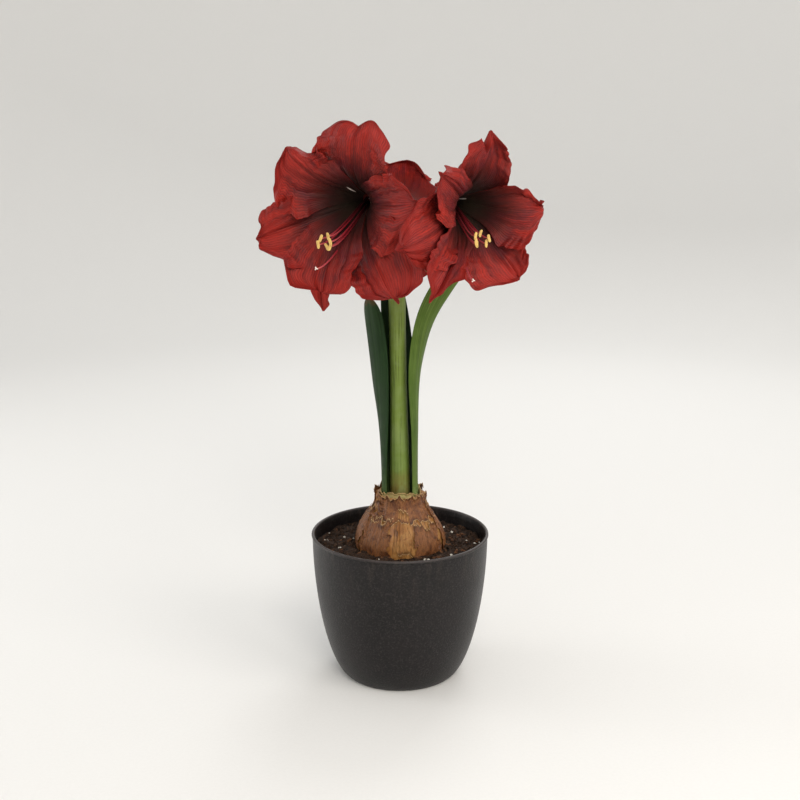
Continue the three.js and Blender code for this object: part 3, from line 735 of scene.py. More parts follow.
# %% Green flesh
def green_flesh(name, stops, fibre, wax, width, spacing, rough, shine):
    """Stops colour it from foot to tip. Its fibres are "spacing" mm apart over "width" mm."""
    m = new_material(name)
    place = node(m, "TexCoord", out="Object")
    uv = node(m, "UVMap", uv_map="blade")
    along = node(m, "SeparateXYZ", uv, out="Y")
    across = node(m, "SeparateXYZ", uv, out="X")
    lines = node(m, "TexNoise", node(m, "Mapping", uv, Scale=(width / spacing, 5, 1)), 1.0, 3.0, 0.6)
    cells = node(m, "TexNoise", place, grain(0.7), 2.0)
    blotch = node(m, "TexNoise", place, grain(16), 4.0, 0.6)
    tone = node(m, "Math", along, 0.07, operation="SUBTRACT")
    tone = node(m, "Math", blotch, 0.14, tone, operation="MULTIPLY_ADD")
    middle = node(m, "Math", node(m, "Math", across, 0.5, operation="SUBTRACT"), operation="ABSOLUTE")
    pale = lines, 0.52, 0.72, 0.0, 0.35, fibre
    dark = lines, 0.3, 0.48, 0.45, 0.0, "121c0a"
    rib = middle, 0.0, 0.035, 0.3, 0.0, fibre
    bloom = blotch, 0.42, 0.66, 0.0, 0.22, wax
    base = coated(m, node(m, "ValToRGB", tone, stops=stops), pale, dark, rib, bloom)
    height = node(m, "Math", cells, 0.25, lines, operation="MULTIPLY_ADD")
    bump = node(m, "Bump", Height=height, Strength=0.5, Distance=0.25 * MM)
    dull = node(m, "MapRange", blotch, 0.35, 0.7, rough - 0.08, rough + 0.12)
    flesh = node(
        m, "BsdfPrincipled", Base_Color=base, Roughness=dull, Normal=bump, IOR=1.45,
        Specular_IOR_Level=shine, Subsurface_Weight=0.05, Subsurface_Scale=2.0 * MM,
        Subsurface_Radius=(0.5, 1.0, 0.2),
    )
    node(m, "OutputMaterial", flesh)
    return m


SCAPE_STOPS = [
    (0.0, "6b3b2a"), (0.05, "70602f"), (0.14, "657936"), (0.6, "70833a"), (0.92, "77873d"), (1.0, "77783a"),
]
DARK_STOPS = [
    (0.0, "7c8a56"), (0.06, "42562c"), (0.2, "22361c"), (0.8, "1f321b"), (0.96, "26391e"), (1.0, "5b3a26"),
]
BRIGHT_STOPS = [
    (0.0, "8f9c66"), (0.06, "56692f"), (0.25, "40561f"), (0.6, "4b6122"), (0.95, "506524"), (1.0, "70522e"),
]
SCAPE_GIRTH, LEAF_WIDTH = 53, 27
scape_skin = green_flesh("scape_cuticle_waxy", SCAPE_STOPS, "8d9c55", "8b9a6c", SCAPE_GIRTH, 1.6, 0.45, 0.2)
leaf_dark = green_flesh("leaf_cuticle_dark_green", DARK_STOPS, "35502a", "263d20", LEAF_WIDTH, 1.1, 0.5, 0.1)
leaf_bright = green_flesh(
    "leaf_cuticle_bright_green", BRIGHT_STOPS, "7c9146", "5f733a", LEAF_WIDTH, 1.1, 0.48, 0.13
)

# %% [markdown]
# ## Scape and flower stalks
# The scape is a hollow stalk, a little flattened, and thickest at its foot. Each flower's own stalk
# leaves its top, bends out, and swells into the ovary, which has three blunt edges. They are grids
# rolled round a line, because a bevelled curve would only be round.

# %% Making the scape
NECK_FLOOR = 178
GAP = 0.35
STEM_TOP = np.array([-3.2, 0, 455])
SCAPE_FOOT_RADIUS, SCAPE_RADIUS, SCAPE_FLATNESS = 11, 9, 0.92


def round_uv(s, u):
    return (u + 1) / 2, s


def scape_section(s, u):
    radius = mix(SCAPE_FOOT_RADIUS, SCAPE_RADIUS, smooth(0, 0.55, s))
    radius = radius * (1 - 0.42 * smooth(0.975, 1, s) ** 1.5)
    ribs = 1 + 0.008 * np.cos(11 * np.pi * u + 1) + 0.006 * np.cos(17 * np.pi * u)
    return oval(SCAPE_FLATNESS * radius * ribs, radius * ribs, u)


scape_line = curve((0, 0, NECK_FLOOR + GAP), (-0.5, 0, 270), (-3.4, 0, 360), STEM_TOP)
scape_rule = swept(scape_line, lambda s: np.array([0, 1.0, 0]), scape_section)
keep(closed(bent_grid(64, 90, scape_rule, "blade", round_uv)), "scape", "flower_stem", "stem", scape_skin)

# %% [markdown]
# A stalk starts inside the scape's top. Its ovary is 15 mm long and ends just behind its flower.

# %% Making the flower stalks
STALK_RADIUS, OVARY_RADIUS, OVARY_LENGTH = 3.7, 6.2, 15


def stalk_points(flower):
    ahead, foot = ahead_of(flower), np.array(flower["foot"], float)
    spread = foot[0] - STEM_TOP[0]
    start = STEM_TOP + (0.07 * spread, 0.1 * foot[1], -3)
    rise = start + (0.35 * spread, 0.1 * foot[1], 17)
    return start, rise, foot - 19 * ahead, foot - GAP * ahead


for flower in FLOWERS:
    line = curve(*stalk_points(flower))
    length = np.sum(np.linalg.norm(np.diff(line(np.linspace(0, 1, 60)), axis=0), axis=1))

    def stalk_section(s, u):
        back = (1 - s) * length
        ovary = (1 - smooth(OVARY_LENGTH - 5, OVARY_LENGTH + 5, back)) * smooth(-4, 4, back)
        radius = STALK_RADIUS + (OVARY_RADIUS - STALK_RADIUS) * ovary
        radius = radius * (1 + 0.09 * ovary * np.cos(3 * np.pi * u)) * (1 + 0.12 * (1 - smooth(0, 0.2, s)))
        return oval(radius, radius, u)

    sideways = np.cross(ahead_of(flower), (0, 0, 1.0))
    stalk = bent_grid(36, 48, swept(line, lambda s: sideways, stalk_section), "blade", round_uv)
    keep(closed(stalk), "stalk_" + flower["name"], "flower_stem", "stem", scape_skin)
    print(f"stalk and ovary of {flower['name']}: {length:.0f} mm long")

# %% [markdown]
# ## Strap leaves
# A strap leaf is a long blade, curved across like a gutter, with round margins and a blunt tip. It is
# rolled as a flat tube, so that its two faces meet in round margins and not in a cut edge. Its line
# runs through a few points, and its outer face looks along an angle that may turn on the way up.

# %% A strap's rule
def line_through(points):
    """A smooth line(s) through points, even in length: a centripetal Catmull-Rom spline."""
    p = np.array(points, float)
    p = np.vstack([2 * p[0] - p[1], p, 2 * p[-1] - p[-2]])
    t = np.linspace(0, 1, 160)[:, None]
    parts = []
    for a, b, c, d in zip(p, p[1:], p[2:], p[3:]):
        before, here, after = (np.linalg.norm(y - x) ** 0.5 for x, y in ((a, b), (b, c), (c, d)))
        leave = ((b - a) / before - (c - a) / (before + here) + (c - b) / here) * here
        arrive = ((c - b) / here - (d - b) / (here + after) + (d - c) / after) * here
        bend = (-3 * b + 3 * c - 2 * leave - arrive) * t**2 + (2 * b - 2 * c + leave + arrive) * t**3
        parts.append(b + leave * t + bend)
    dense = np.vstack(parts)
    share = np.concatenate([[0], np.cumsum(np.linalg.norm(np.diff(dense, axis=0), axis=1))])
    share /= share[-1]
    return lambda s: np.stack([np.interp(s, share, dense[:, k]) for k in range(3)], -1)


def strap(points, look, half, arc, thickness=2.4, start=0.72, tip=0.8, ripple=0.5):
    """A rule in mm. "look" is the way the outer face looks and "arc" the radius of the gutter, both
    from foot to tip. "half" is half the width, "start" its share at the foot, and it narrows past "tip"."""

    def section(s, u):
        w = np.cos(np.pi * u)
        end = (1 - np.clip((s - tip) / (1 - tip), 0, 1) ** 2.3) ** 0.5
        width = half * mix(start, 1, smooth(0, 0.5, s)) * end
        bend = mix(*arc, smooth(0.05, 0.6, s))
        turn = w * width / bend
        thick = (mix(thickness, 0.5 * thickness, s) * (1 - 0.5 * w**2) + 0.3) * end**0.5
        face = 0.5 * thick * np.sign(np.sin(np.pi * u)) * np.abs(np.sin(np.pi * u)) ** 0.7
        vein = -0.35 * np.exp(-((w / 0.12) ** 2)) * end
        wave = ripple * w**2 * np.sin(9 * s + 3 * w) * smooth(0.3, 0.6, s) * end
        face = face + vein + wave
        return (bend + face) * np.sin(turn), (bend + face) * np.cos(turn) - bend

    def outer(s):
        angle = np.radians(mix(*look, smooth(0.1, 0.8, s)))
        return np.stack([np.cos(angle), np.sin(angle), 0 * angle], -1)

    rule = swept(line_through(points), outer, section)
    return lambda s, u: rule(1 - (1 - s) ** 1.25, u)


def strap_uv(s, u):
    return (np.cos(np.pi * u) + 1) / 2, 1 - (1 - s) ** 1.25


# %% [markdown]
# The four leaves stand round the scape in the neck of the bulb. Two are short and upright, one goes up
# behind the flowers, and a young, brighter one arches out to the right.

# %% Making the leaves
LEAF_FOOT = 2 * GAP + NECK_FLOOR
LEAF_SKINS = {"leaf_dark": leaf_dark, "leaf_bright": leaf_bright}
LEAVES = [
    dict(
        name="leaf_short_left", slot="leaf_dark", look=(186, 226), half=13.4, arc=(16.8, 34), tip=0.86,
        points=[
            (-16.8, -1.5, LEAF_FOOT), (-18.5, -2.5, 250), (-22.5, -4, 325), (-27, -5, 365),
            (-30.5, -6, 391),
        ],
    ),
    dict(
        name="leaf_long_left", slot="leaf_dark", look=(139, 148), half=11.6, arc=(13.2, 60), start=0.86,
        points=[
            (-10, 8.6, LEAF_FOOT), (-10.4, 8.7, 200), (-11.6, 8.5, 255), (-12.4, 8.6, 330),
            (-14.5, 14, 395), (-22, 28, 436), (-34, 43, 450),
        ],
    ),
    dict(
        name="leaf_long_right", slot="leaf_bright", look=(-9, -52), half=13.5, arc=(16.8, 40), tip=0.7,
        points=[
            (16.8, -2.2, LEAF_FOOT), (16.6, -3.5, 250), (17.4, -4, 325), (26, -1, 368), (42, 5, 398),
            (65, 14, 426), (92, 25, 438), (116, 36, 430),
        ],
    ),
    dict(
        name="leaf_short_right", slot="leaf_dark", look=(40, 58), half=8.8, arc=(13.2, 60),
        thickness=2.2, start=0.86, tip=0.66,
        points=[
            (10.2, 8.6, LEAF_FOOT), (9.7, 9.2, 200), (7.4, 13, 255), (7, 17, 325), (4.5, 18.5, 354),
            (0.5, 20, 398),
        ],
    ),
]
for leaf in LEAVES:
    name, slot = leaf.pop("name"), leaf.pop("slot")
    blade = closed(bent_grid(48, 140, strap(**leaf), "blade", strap_uv))
    keep(blade, name + "_blade", name, slot, LEAF_SKINS[slot])

# %% [markdown]
# ## Withered bracts
# Before the flowers open, two bracts wrap the buds. Afterwards they dry to brown paper and hang from
# a collar under the stalks, curled inwards, with veins that stand out as the flesh between them goes.
# A bract is the same strap as a leaf, only thin and tapered from near its foot.

# %% Bract paper
BRACT_WIDTH, BRACT_VEINS = 17, 0.9


def bract_paper():
    m = new_material("bract_dried_papery")
    place = node(m, "TexCoord", out="Object")
    uv = node(m, "UVMap", uv_map="blade")
    lengthwise = node(m, "Mapping", uv, Scale=(BRACT_WIDTH / BRACT_VEINS, 4, 1))
    lines = node(m, "TexNoise", lengthwise, 1.0, 3.0, 0.6)
    blotch = node(m, "TexNoise", place, grain(9), 4.0, 0.6)
    stops = [(0.25, "6d6a35"), (0.45, "8d7c4a"), (0.6, "a48c5c"), (0.8, "7a4a35")]
    base = node(m, "ValToRGB", blotch, stops=stops)
    vein = node(m, "MapRange", lines, 0.5, 0.7, 0.0, 0.7, interpolation_type="SMOOTHSTEP")
    base = node(m, "Mix", vein, base, colour("5b3426"), data_type="RGBA")
    bump = node(m, "Bump", Height=lines, Strength=0.9, Distance=0.4 * MM)
    paper = node(m, "BsdfPrincipled", Base_Color=base, Roughness=0.7, Normal=bump, Subsurface_Weight=0.08,
                 Subsurface_Scale=1.0 * MM)
    node(m, "OutputMaterial", paper)
    return m


bract_skin = bract_paper()

# %% Making the bracts
BRACT_LINE = [(9.8, 443), (17, 450), (28, 446), (36, 432), (39, 411)]
BRACT_THICKNESS = 0.6
COLLAR_RADIUS, COLLAR_HEIGHT = 10.1, 444


def bract(turn):
    """A bract that hangs out at an angle in degrees, along a line of (reach, height) points."""
    out = np.array([math.cos(math.radians(turn)), math.sin(math.radians(turn)), 0])
    points = [(STEM_TOP[0] + out[0] * reach, out[1] * reach, z) for reach, z in BRACT_LINE]
    half = BRACT_WIDTH / 2
    return strap(points, (turn, turn), half, (11, 8), BRACT_THICKNESS, start=0.8, tip=0.3, ripple=1.4)


def collar(s, u):
    """A low ring of torn paper round the top of the scape."""
    angle, round_it = np.pi * u, 2 * np.pi * s
    radius = COLLAR_RADIUS + 0.9 * np.cos(round_it) + 0.25 * np.cos(7 * angle)
    height = COLLAR_HEIGHT + 2.0 * np.sin(round_it) + 0.6 * np.sin(5 * angle + 1)
    return around(radius, angle, height) + (STEM_TOP[0], 0, 0)


for name, turn in (("bract_left", 188), ("bract_right", 38)):
    keep(closed(bent_grid(32, 60, bract(turn), "blade", strap_uv)), name, "spathe", "spathe", bract_skin)
keep(closed(bent_grid(64, 12, collar, "blade", round_uv)), "bract_collar", "spathe", "spathe", bract_skin)

# %% [markdown]
# ## Bulb
# The bulb's flesh is wrapped in tunics, old leaf bases that have dried to brown paper. They are
# ribbed lengthwise, split where the bulb has swelled, and flake off in sheets with torn, lifted
# edges. The body is a grid rolled round the bulb's outline. A few more sheets lie over it.

# %% Tunic paper
BULB_GIRTH, TUNIC_RIBS, TUNIC_FIBRES = 270, 2.4, 0.8


def tunic(name, stops, veins, rough, dark="2e1a10"):
    m = new_material(name)
    place = node(m, "TexCoord", out="Object")
    uv = node(m, "UVMap", uv_map="tunic")
    coarse_scale, fine_scale = (BULB_GIRTH / TUNIC_RIBS, 6, 1), (BULB_GIRTH / TUNIC_FIBRES, 12, 1)
    lines = node(m, "TexNoise", node(m, "Mapping", uv, Scale=coarse_scale), 1.0, 5.0, 0.68)
    fine = node(m, "TexNoise", node(m, "Mapping", uv, Scale=fine_scale), 1.0, 2.0)
    blotch = node(m, "TexNoise", place, grain(12), 5.0, 0.62, Distortion=0.6)
    burnt = lines, 0.5, 0.64, 0.0, veins, dark
    pale = fine, 0.55, 0.75, 0.0, 0.3, "b98a58"

    # A torn edge shows the paper's pale inner fibres, and a dark line where it has curled and cracked.
    rise = node(m, "SeparateXYZ", uv, out="Y")
    edge = node(m, "Math", node(m, "Math", rise, 0.5, operation="SUBTRACT"), operation="ABSOLUTE")
    crack = edge, 0.4, 0.46, 0.0, 0.5, dark
    torn = edge, 0.475, 0.495, 0.0, 0.8, "c9a473"
    base = coated(m, node(m, "ValToRGB", blotch, stops=stops), burnt, pale, crack, torn)
    height = node(m, "Math", fine, 0.4, lines, operation="MULTIPLY_ADD")
    bump = node(m, "Bump", Height=height, Strength=0.9, Distance=0.6 * MM)
    dull = node(m, "MapRange", blotch, 0.3, 0.7, rough - 0.1, rough + 0.1)
    paper = node(m, "BsdfPrincipled", Base_Color=base, Roughness=dull, Normal=bump, IOR=1.45,
                 Specular_IOR_Level=0.35)
    node(m, "OutputMaterial", paper)
    return m


TUNIC_STOPS = [(0.25, "3f2414"), (0.42, "6b4024"), (0.55, "835430"), (0.68, "5e3720"), (0.85, "3a2012")]
FLAKE_STOPS = [(0.25, "6a4023"), (0.42, "93612f"), (0.55, "a87a45"), (0.7, "83502a"), (0.85, "5a341c")]
SCALE_STOPS = [(0.25, "8f8a52"), (0.45, "b3a770"), (0.62, "a28c5c"), (0.8, "7c5a38")]
tunic_skin = tunic("bulb_tunic_brown_paper", TUNIC_STOPS, 0.7, 0.5)
flake_skin = tunic("bulb_tunic_inner_paper", FLAKE_STOPS, 0.6, 0.46)
scale_skin = tunic("bulb_scale_pale_flesh", SCALE_STOPS, 0.3, 0.45, dark="6d5a30")

# %% [markdown]
# The body's outline runs from the axis under the basal plate, up the outside, over the neck's rim and
# down inside the neck to its floor. The grid is rolled round it, and ribbed on the outside alone.

# %% Making the bulb's body
BULB_FOOT, BULB_HEIGHT, BULB_RADIUS = 98, 93, 44
BULB_TOP = BULB_FOOT + BULB_HEIGHT
NECK_SHARE = 0.56
NECK_RIM_RADIUS, NECK_HOLE_RADIUS = 22.7, 20.8


def bulb_radius(z):
    """A narrow basal plate, a full body and a neck."""
    t = np.clip((z - BULB_FOOT) / BULB_HEIGHT, 0, 1)
    body = np.sin(np.pi * (0.1 + 0.84 * t**0.93)) ** 0.9
    neck = NECK_SHARE * smooth(0.35, 0.8, t)
    return BULB_RADIUS * (body**8 + neck**8) ** (1 / 8)


def swelling(angle, z):
    """The bulb isn't quite round: it swells on two sides, by this factor."""
    t = (z - BULB_FOOT) / BULB_HEIGHT
    body = smooth(0, 0.3, t) * (1 - smooth(0.7, 0.95, t))
    return 1 + body * 0.02 * np.cos(2 * angle + 0.6)


def ribs(angle, z):
    """Lengthwise ribs and folds of the dry tunic, in mm."""
    t = np.clip((z - BULB_FOOT) / BULB_HEIGHT, 0, 1)
    sway = 0.25 * np.sin(3 * t + 2 * angle)
    folds = 0.55 * np.sin(9 * angle + 2 * sway + 1) + 0.35 * np.sin(14 * angle + 5 * t)
    lines = 0.22 * np.sin(47 * angle + 4 * sway) + 0.16 * np.sin(83 * angle + 6 * sway)
    return (folds + lines) * smooth(0.02, 0.2, t)


bulb_heights = np.linspace(BULB_FOOT, BULB_TOP, 90)
neck_outline = [
    (NECK_RIM_RADIUS, BULB_TOP + 0.8), (NECK_HOLE_RADIUS, BULB_TOP), (NECK_HOLE_RADIUS, NECK_FLOOR),
    (0, NECK_FLOOR),
]
bulb_side = zip(bulb_radius(bulb_heights), bulb_heights)
bulb_outline = np.array([(0, BULB_FOOT), *bulb_side, *neck_outline])
outline_share = np.concatenate([[0], np.cumsum(np.hypot(*np.diff(bulb_outline, axis=0).T))])
outline_share /= outline_share[-1]


def bulb_body(s, u):
    angle = np.pi * u
    radius = np.interp(s, outline_share, bulb_outline[:, 0])
    height = np.interp(s, outline_share, bulb_outline[:, 1])
    outside = (s < outline_share[-len(neck_outline)]) * smooth(4, 12, radius)
    return around(radius * swelling(angle, height) + ribs(angle, height) * outside, angle, height)


keep(closed(bent_grid(280, 130, bulb_body, "tunic", round_uv)), "bulb_body", "bulb", "bulb", flake_skin)

# %% [markdown]
# ## Loose tunics and neck scales
# A loose sheet follows the bulb's outline a little further out, and lifts along its torn edges. The
# tears are a sum of waves that have no common length, so that they never repeat. Round the neck the
# sheets end in ragged tips, and inside it the pale bases of younger scales hold the leaves.

# %% Making the loose tunics
TUNIC_THICKNESS = 0.35


def tear(x, seed):
    """A ragged line, about -1 to 1."""
    return sum(math.pow(0.62, k) * np.sin((2.3 * 1.9**k) * x + seed * (k + 1.7)) for k in range(6)) / 2.2


def sheet(turn, span, low, high, lift, seed, ragged=6.0):
    """A sheet of tunic round part of the bulb. Angles are in degrees, heights and lift in mm."""

    def rule(s, u):
        half = math.radians(span / 2) * (1 + 0.2 * tear(6 * s, seed + 3 * np.sign(u)))
        angle = math.radians(turn) + half * u
        top = high + ragged * tear(6 * angle, seed)
        bottom = low + 0.8 * ragged * tear(5 * angle, seed + 5)
        z = mix(bottom, top, s)
        sides, foot = smooth(0.72, 1, np.abs(u)), 0.8 * (1 - smooth(0, 0.2, s))
        edge = np.maximum(smooth(0.75, 1, s), np.maximum(sides, foot))
        off = 0.5 + lift * edge**2.5 * (0.65 + 0.35 * np.sin(7 * angle + 9 * s + seed))
        height = np.minimum(z, BULB_TOP)
        return around(bulb_radius(height) * swelling(angle, height) + ribs(angle, height) + off, angle, z)

    return rule


SHEETS = [
    ("tunic_front", sheet(-128, 46, 132, 171, 2.0, 1.0), tunic_skin),
    ("tunic_front_strip", sheet(-84, 20, 139, 180, 1.6, 2.2, 4.0), flake_skin),
    ("tunic_front_right", sheet(-50, 40, 129, 165, 2.2, 9.4), tunic_skin),
    ("tunic_right", sheet(4, 44, 131, 180, 2.0, 2.4), tunic_skin),
    ("tunic_right_back", sheet(52, 30, 134, 172, 1.8, 4.6), flake_skin),
    ("tunic_back", sheet(98, 52, 128, 176, 2.0, 3.9), tunic_skin),
    ("tunic_left_back", sheet(146, 26, 132, 168, 1.8, 8.1), flake_skin),
    ("tunic_left", sheet(186, 40, 131, 178, 2.0, 5.2), tunic_skin),
    ("tunic_neck_front", sheet(-70, 150, 169, 193, 1.5, 6.6, 4.0), tunic_skin),
    ("tunic_neck_back", sheet(110, 160, 170, 195, 1.5, 7.7, 4.0), tunic_skin),
]
for name, rule, skin in SHEETS:
    flake = bent_grid(90, 44, rule, "tunic", lambda s, u: (0.5 + 0.12 * u, s))
    modify(flake, "SOLIDIFY", thickness=TUNIC_THICKNESS * MM, offset=1)
    keep(flake, name, "bulb", "bulb", skin)

# %% Making the neck scales
SCALE_THICKNESS = 0.5


def neck_scale(turn, span, radius, high, seed):
    """A ragged, upright scale inside the neck, which flares at its rim."""

    def rule(s, u):
        angle = math.radians(turn) + math.radians(span / 2) * u
        rise = (high - NECK_FLOOR) * (1 - 0.55 * np.abs(u) ** 2.2) + 1.6 * tear(5 * angle, seed)
        z = NECK_FLOOR + 0.4 + rise * s
        r = radius + 0.5 * np.sin(3 * angle + seed) - 0.8 * s + 1.4 * smooth(0.85, 1, s)
        return around(r, angle, z)

    return rule


NECK_SCALES = [(-95, 190, 19.8, 196), (60, 170, 19.9, 198), (178, 120, 19.2, 194)]
for k, scale in enumerate(NECK_SCALES):
    blade = bent_grid(70, 26, neck_scale(*scale, 2.0 * k), "tunic", lambda s, u: (0.5 + 0.1 * u, s))
    modify(blade, "SOLIDIFY", thickness=SCALE_THICKNESS * MM, offset=0)
    keep(blade, f"neck_scale_{k + 1}", "bulb", "bulb", scale_skin)

# %% [markdown]
# ## Pot
# The pot is polypropylene, moulded in one piece. The mould was spark eroded, which leaves a fine matt
# grain: it breaks up every reflection, so that the dark wall shows only a broad soft shine.

# %% Pot plastic
def moulded_plastic():
    m = new_material("pot_moulded_polypropylene_matt")
    place = node(m, "TexCoord", out="Object")
    height = node(m, "SeparateXYZ", place, out="Z")
    # The real grain is 0.3 mm across. It is drawn at 1.8 mm, so that it still shows from here.
    erosion = node(m, "TexNoise", place, grain(1.8), 4.0, 0.7)
    pits = node(m, "TexVoronoi", place, grain(1.6), feature="SMOOTH_F1")
    cloud = node(m, "TexNoise", place, grain(38), 4.0, 0.55)
    base = node(m, "ValToRGB", cloud, stops=[(0.3, "0a0808"), (0.5, "0f0c0c"), (0.72, "151111")])
    speck = node(m, "MapRange", erosion, 0.5, 0.64, 0.0, 0.75)
    base = node(m, "Mix", speck, base, colour("302b2b"), data_type="RGBA")

    # The bead is paler, partly from wear by handling and partly as a painted highlight along the rim.
    # Watering leaves a thin veil of soil dust under it.
    base = coated(m, base, (height, 147.2 * MM, 149.8 * MM, 0.0, 0.4, "554d4b"))
    streaks = node(m, "TexNoise", node(m, "Mapping", place, Scale=(1, 1, 0.18)), grain(7), 4.0, 0.6)
    veil = node(m, "MapRange", height, 100 * MM, 147 * MM, 0.0, 1.0)
    veil = node(m, "Math", veil, node(m, "MapRange", streaks, 0.5, 0.75, 0.0, 0.14), operation="MULTIPLY")
    base = node(m, "Mix", veil, base, colour("6b5d50"), data_type="RGBA")
    relief = node(m, "Math", pits, 0.6, erosion, operation="MULTIPLY_ADD")
    bump = node(m, "Bump", Height=relief, Strength=0.8, Distance=0.22 * MM)
    rough = node(m, "MapRange", cloud, 0.3, 0.7, 0.37, 0.46)
    plastic = node(m, "BsdfPrincipled", Base_Color=base, Roughness=rough, Normal=bump, IOR=1.49,
                   Specular_IOR_Level=0.3)
    node(m, "OutputMaterial", plastic)
    return m


pot_plastic = moulded_plastic()

# %% [markdown]
# Half of the pot's section is drawn as a ring of points: the underside, the wall, a groove, the rolled
# bead, the inside and the floor. It is spun once round the upright axis. The ring's last edge lies on
# the axis, and the doubles there are merged.

# %% Making the pot
POT_HEIGHT, POT_RADIUS, POT_FOOT_RADIUS, POT_WALL = 150, 90, 55, 3
BEAD_RADIUS, BEAD_OUT, GROOVE_DEPTH = 1.6, 0.9, 0.5
FOOT_RING, FOOT_HOLLOW = 48, 0.7


def pot_radius(z):
    """The wall swells out from the base in one curve and stands upright at the rim."""
    rise = 1 - (1 - np.minimum(z / POT_HEIGHT, 1)) ** 1.94
    return POT_FOOT_RADIUS + (POT_RADIUS - BEAD_OUT - POT_FOOT_RADIUS) * rise ** (1 / 1.625)


def turned(outline, steps):
    """Spins a ring of (radius, height) points round the Z axis. It begins and ends on the axis."""
    only()
    bpy.ops.mesh.primitive_circle_add(vertices=len(outline), fill_type="NOTHING")
    piece = bpy.context.object
    for vertex, (radius, height) in zip(piece.data.vertices, outline):
        vertex.co = (radius * MM, 0, height * MM)
    bpy.ops.object.mode_set(mode="EDIT")
    bpy.ops.mesh.select_all(action="SELECT")
    bpy.ops.mesh.spin(steps=steps, angle=2 * math.pi, center=(0, 0, 0), axis=(0, 0, 1))
    bpy.ops.mesh.select_all(action="SELECT")
    bpy.ops.mesh.remove_doubles(threshold=WELD)
    bpy.ops.mesh.delete_loose()
    bpy.ops.mesh.select_all(action="SELECT")
    bpy.ops.mesh.normals_make_consistent(inside=False)
    bpy.ops.object.mode_set(mode="OBJECT")
    return piece


wall_top = POT_HEIGHT - 2 * BEAD_RADIUS
outside = [(pot_radius(z), z) for z in wall_top * np.linspace(0, 1, 60) ** 1.7]
groove_height = wall_top + GROOVE_DEPTH
groove = (pot_radius(groove_height) - GROOVE_DEPTH, groove_height)
bead_centre = pot_radius(POT_HEIGHT) + BEAD_OUT - BEAD_RADIUS
bead = [
    (bead_centre + BEAD_RADIUS * math.cos(a), POT_HEIGHT - BEAD_RADIUS + BEAD_RADIUS * math.sin(a))
    for a in np.radians(np.linspace(-50, 180, 16))
]
inside = [(pot_radius(z) - POT_WALL, z) for z in mix(wall_top - 2, POT_WALL, np.linspace(0, 1, 40) ** 1.2)]
underside = [(0, FOOT_HOLLOW), (FOOT_RING - 1, FOOT_HOLLOW), (FOOT_RING, 0), (POT_FOOT_RADIUS - 0.4, 0)]
pot = turned([*underside, *outside[1:], groove, *bead, *inside, (0, POT_WALL)], 192)
keep(pot, "pot_shell", "pot", "pot", pot_plastic, angle=35)
print(f"pot: {2 * POT_RADIUS} mm wide over its rim, {POT_HEIGHT} mm high")

# %% [markdown]
# ## Soil
# Potting soil is milled peat with some fine bark and white grains of perlite. The bed is one grid
# rolled into a disc round the bulb, lumpy from noise. On it lie crumbs, chips and grains: one of each
# kind is modelled, and its copies are turned, sized and scattered by a seeded generator.

# %% Soil finishes
def peat(name, stops, size, depth, rough):
    """Dull brown crumbs "size" mm across, with hollows "depth" mm deep between them, painted near-black as
    shade.
    """
    m = new_material(name)
    place = node(m, "TexCoord", out="Object")
    lumps = node(m, "TexNoise", place, grain(size), 5.0, 0.65)
    crumbs = node(m, "TexVoronoi", place, grain(size / 2))
    fibres = node(m, "TexNoise", node(m, "Mapping", place, Scale=(1, 3, 2)), grain(size / 3), 3.0)
    # The colour follows the same lumps as the relief, so the hollows are darkened: painted shade.
    base = node(m, "ValToRGB", lumps, stops=stops)
    straw = node(m, "MapRange", fibres, 0.6, 0.74, 0.0, 0.5)
    base = node(m, "Mix", straw, base, colour("7d6040"), data_type="RGBA")
    relief = node(m, "Math", crumbs, -0.7, lumps, operation="MULTIPLY_ADD")
    bump = node(m, "Bump", Height=relief, Strength=1.0, Distance=depth * MM)
    earth = node(m, "BsdfPrincipled", Base_Color=base, Roughness=rough, Normal=bump,
                 Specular_IOR_Level=0.25)
    node(m, "OutputMaterial", earth)
    return m


PEAT_STOPS = [(0.25, "0f0a07"), (0.42, "21160f"), (0.58, "38261a"), (0.75, "513a27")]
BARK_STOPS = [(0.3, "2c1a10"), (0.5, "543420"), (0.7, "7a5434")]
PERLITE_STOPS = [(0.3, "b9b2a4"), (0.55, "dcd7cc"), (0.8, "efece4")]
peat_skin = peat("soil_milled_peat", PEAT_STOPS, 4.0, 1.6, 0.95)
bark_skin = peat("soil_bark_chips", BARK_STOPS, 2.4, 0.8, 0.85)
perlite_skin = peat("soil_perlite_grains", PERLITE_STOPS, 1.2, 0.5, 0.9)

# %% Making the bed
SOIL_LEVEL, SOIL_FOOT = 136, 3.4


def soil_height(x, y):
    lump = np.sin(0.17 * x + 1.3) * np.cos(0.21 * y) + 0.6 * np.sin(0.37 * x - 0.31 * y)
    crumb = np.array([noise.fractal(Vector((a / 9, b / 9, 0.3)), 0.7, 2.1, 4) for a, b in zip(x, y)])
    return SOIL_LEVEL + 1.3 * lump + 1.5 * crumb


def soil_reach(z):
    """The radius of the filling at a height, just clear of the pot's wall."""
    return pot_radius(z) - POT_WALL - 2 * GAP


hole_floor, hole_floor_radius = BULB_FOOT - 0.4, 15.5
soil_hole = [(0, hole_floor), (hole_floor_radius, hole_floor)]
soil_hole += [(bulb_radius(z) + 1.6, z) for z in np.linspace(BULB_FOOT + 2, SOIL_LEVEL - 1, 8)]
soil_rings = np.linspace(bulb_radius(SOIL_LEVEL) + 0.4, soil_reach(SOIL_LEVEL), 46)
soil_top = [(radius, SOIL_LEVEL) for radius in soil_rings]
soil_sides = [(soil_reach(z), z) for z in (130, 110, 80, 50, 25, 10, SOIL_FOOT)]
soil_profile = np.array([*soil_hole, *soil_top, *soil_sides, (0, SOIL_FOOT)])


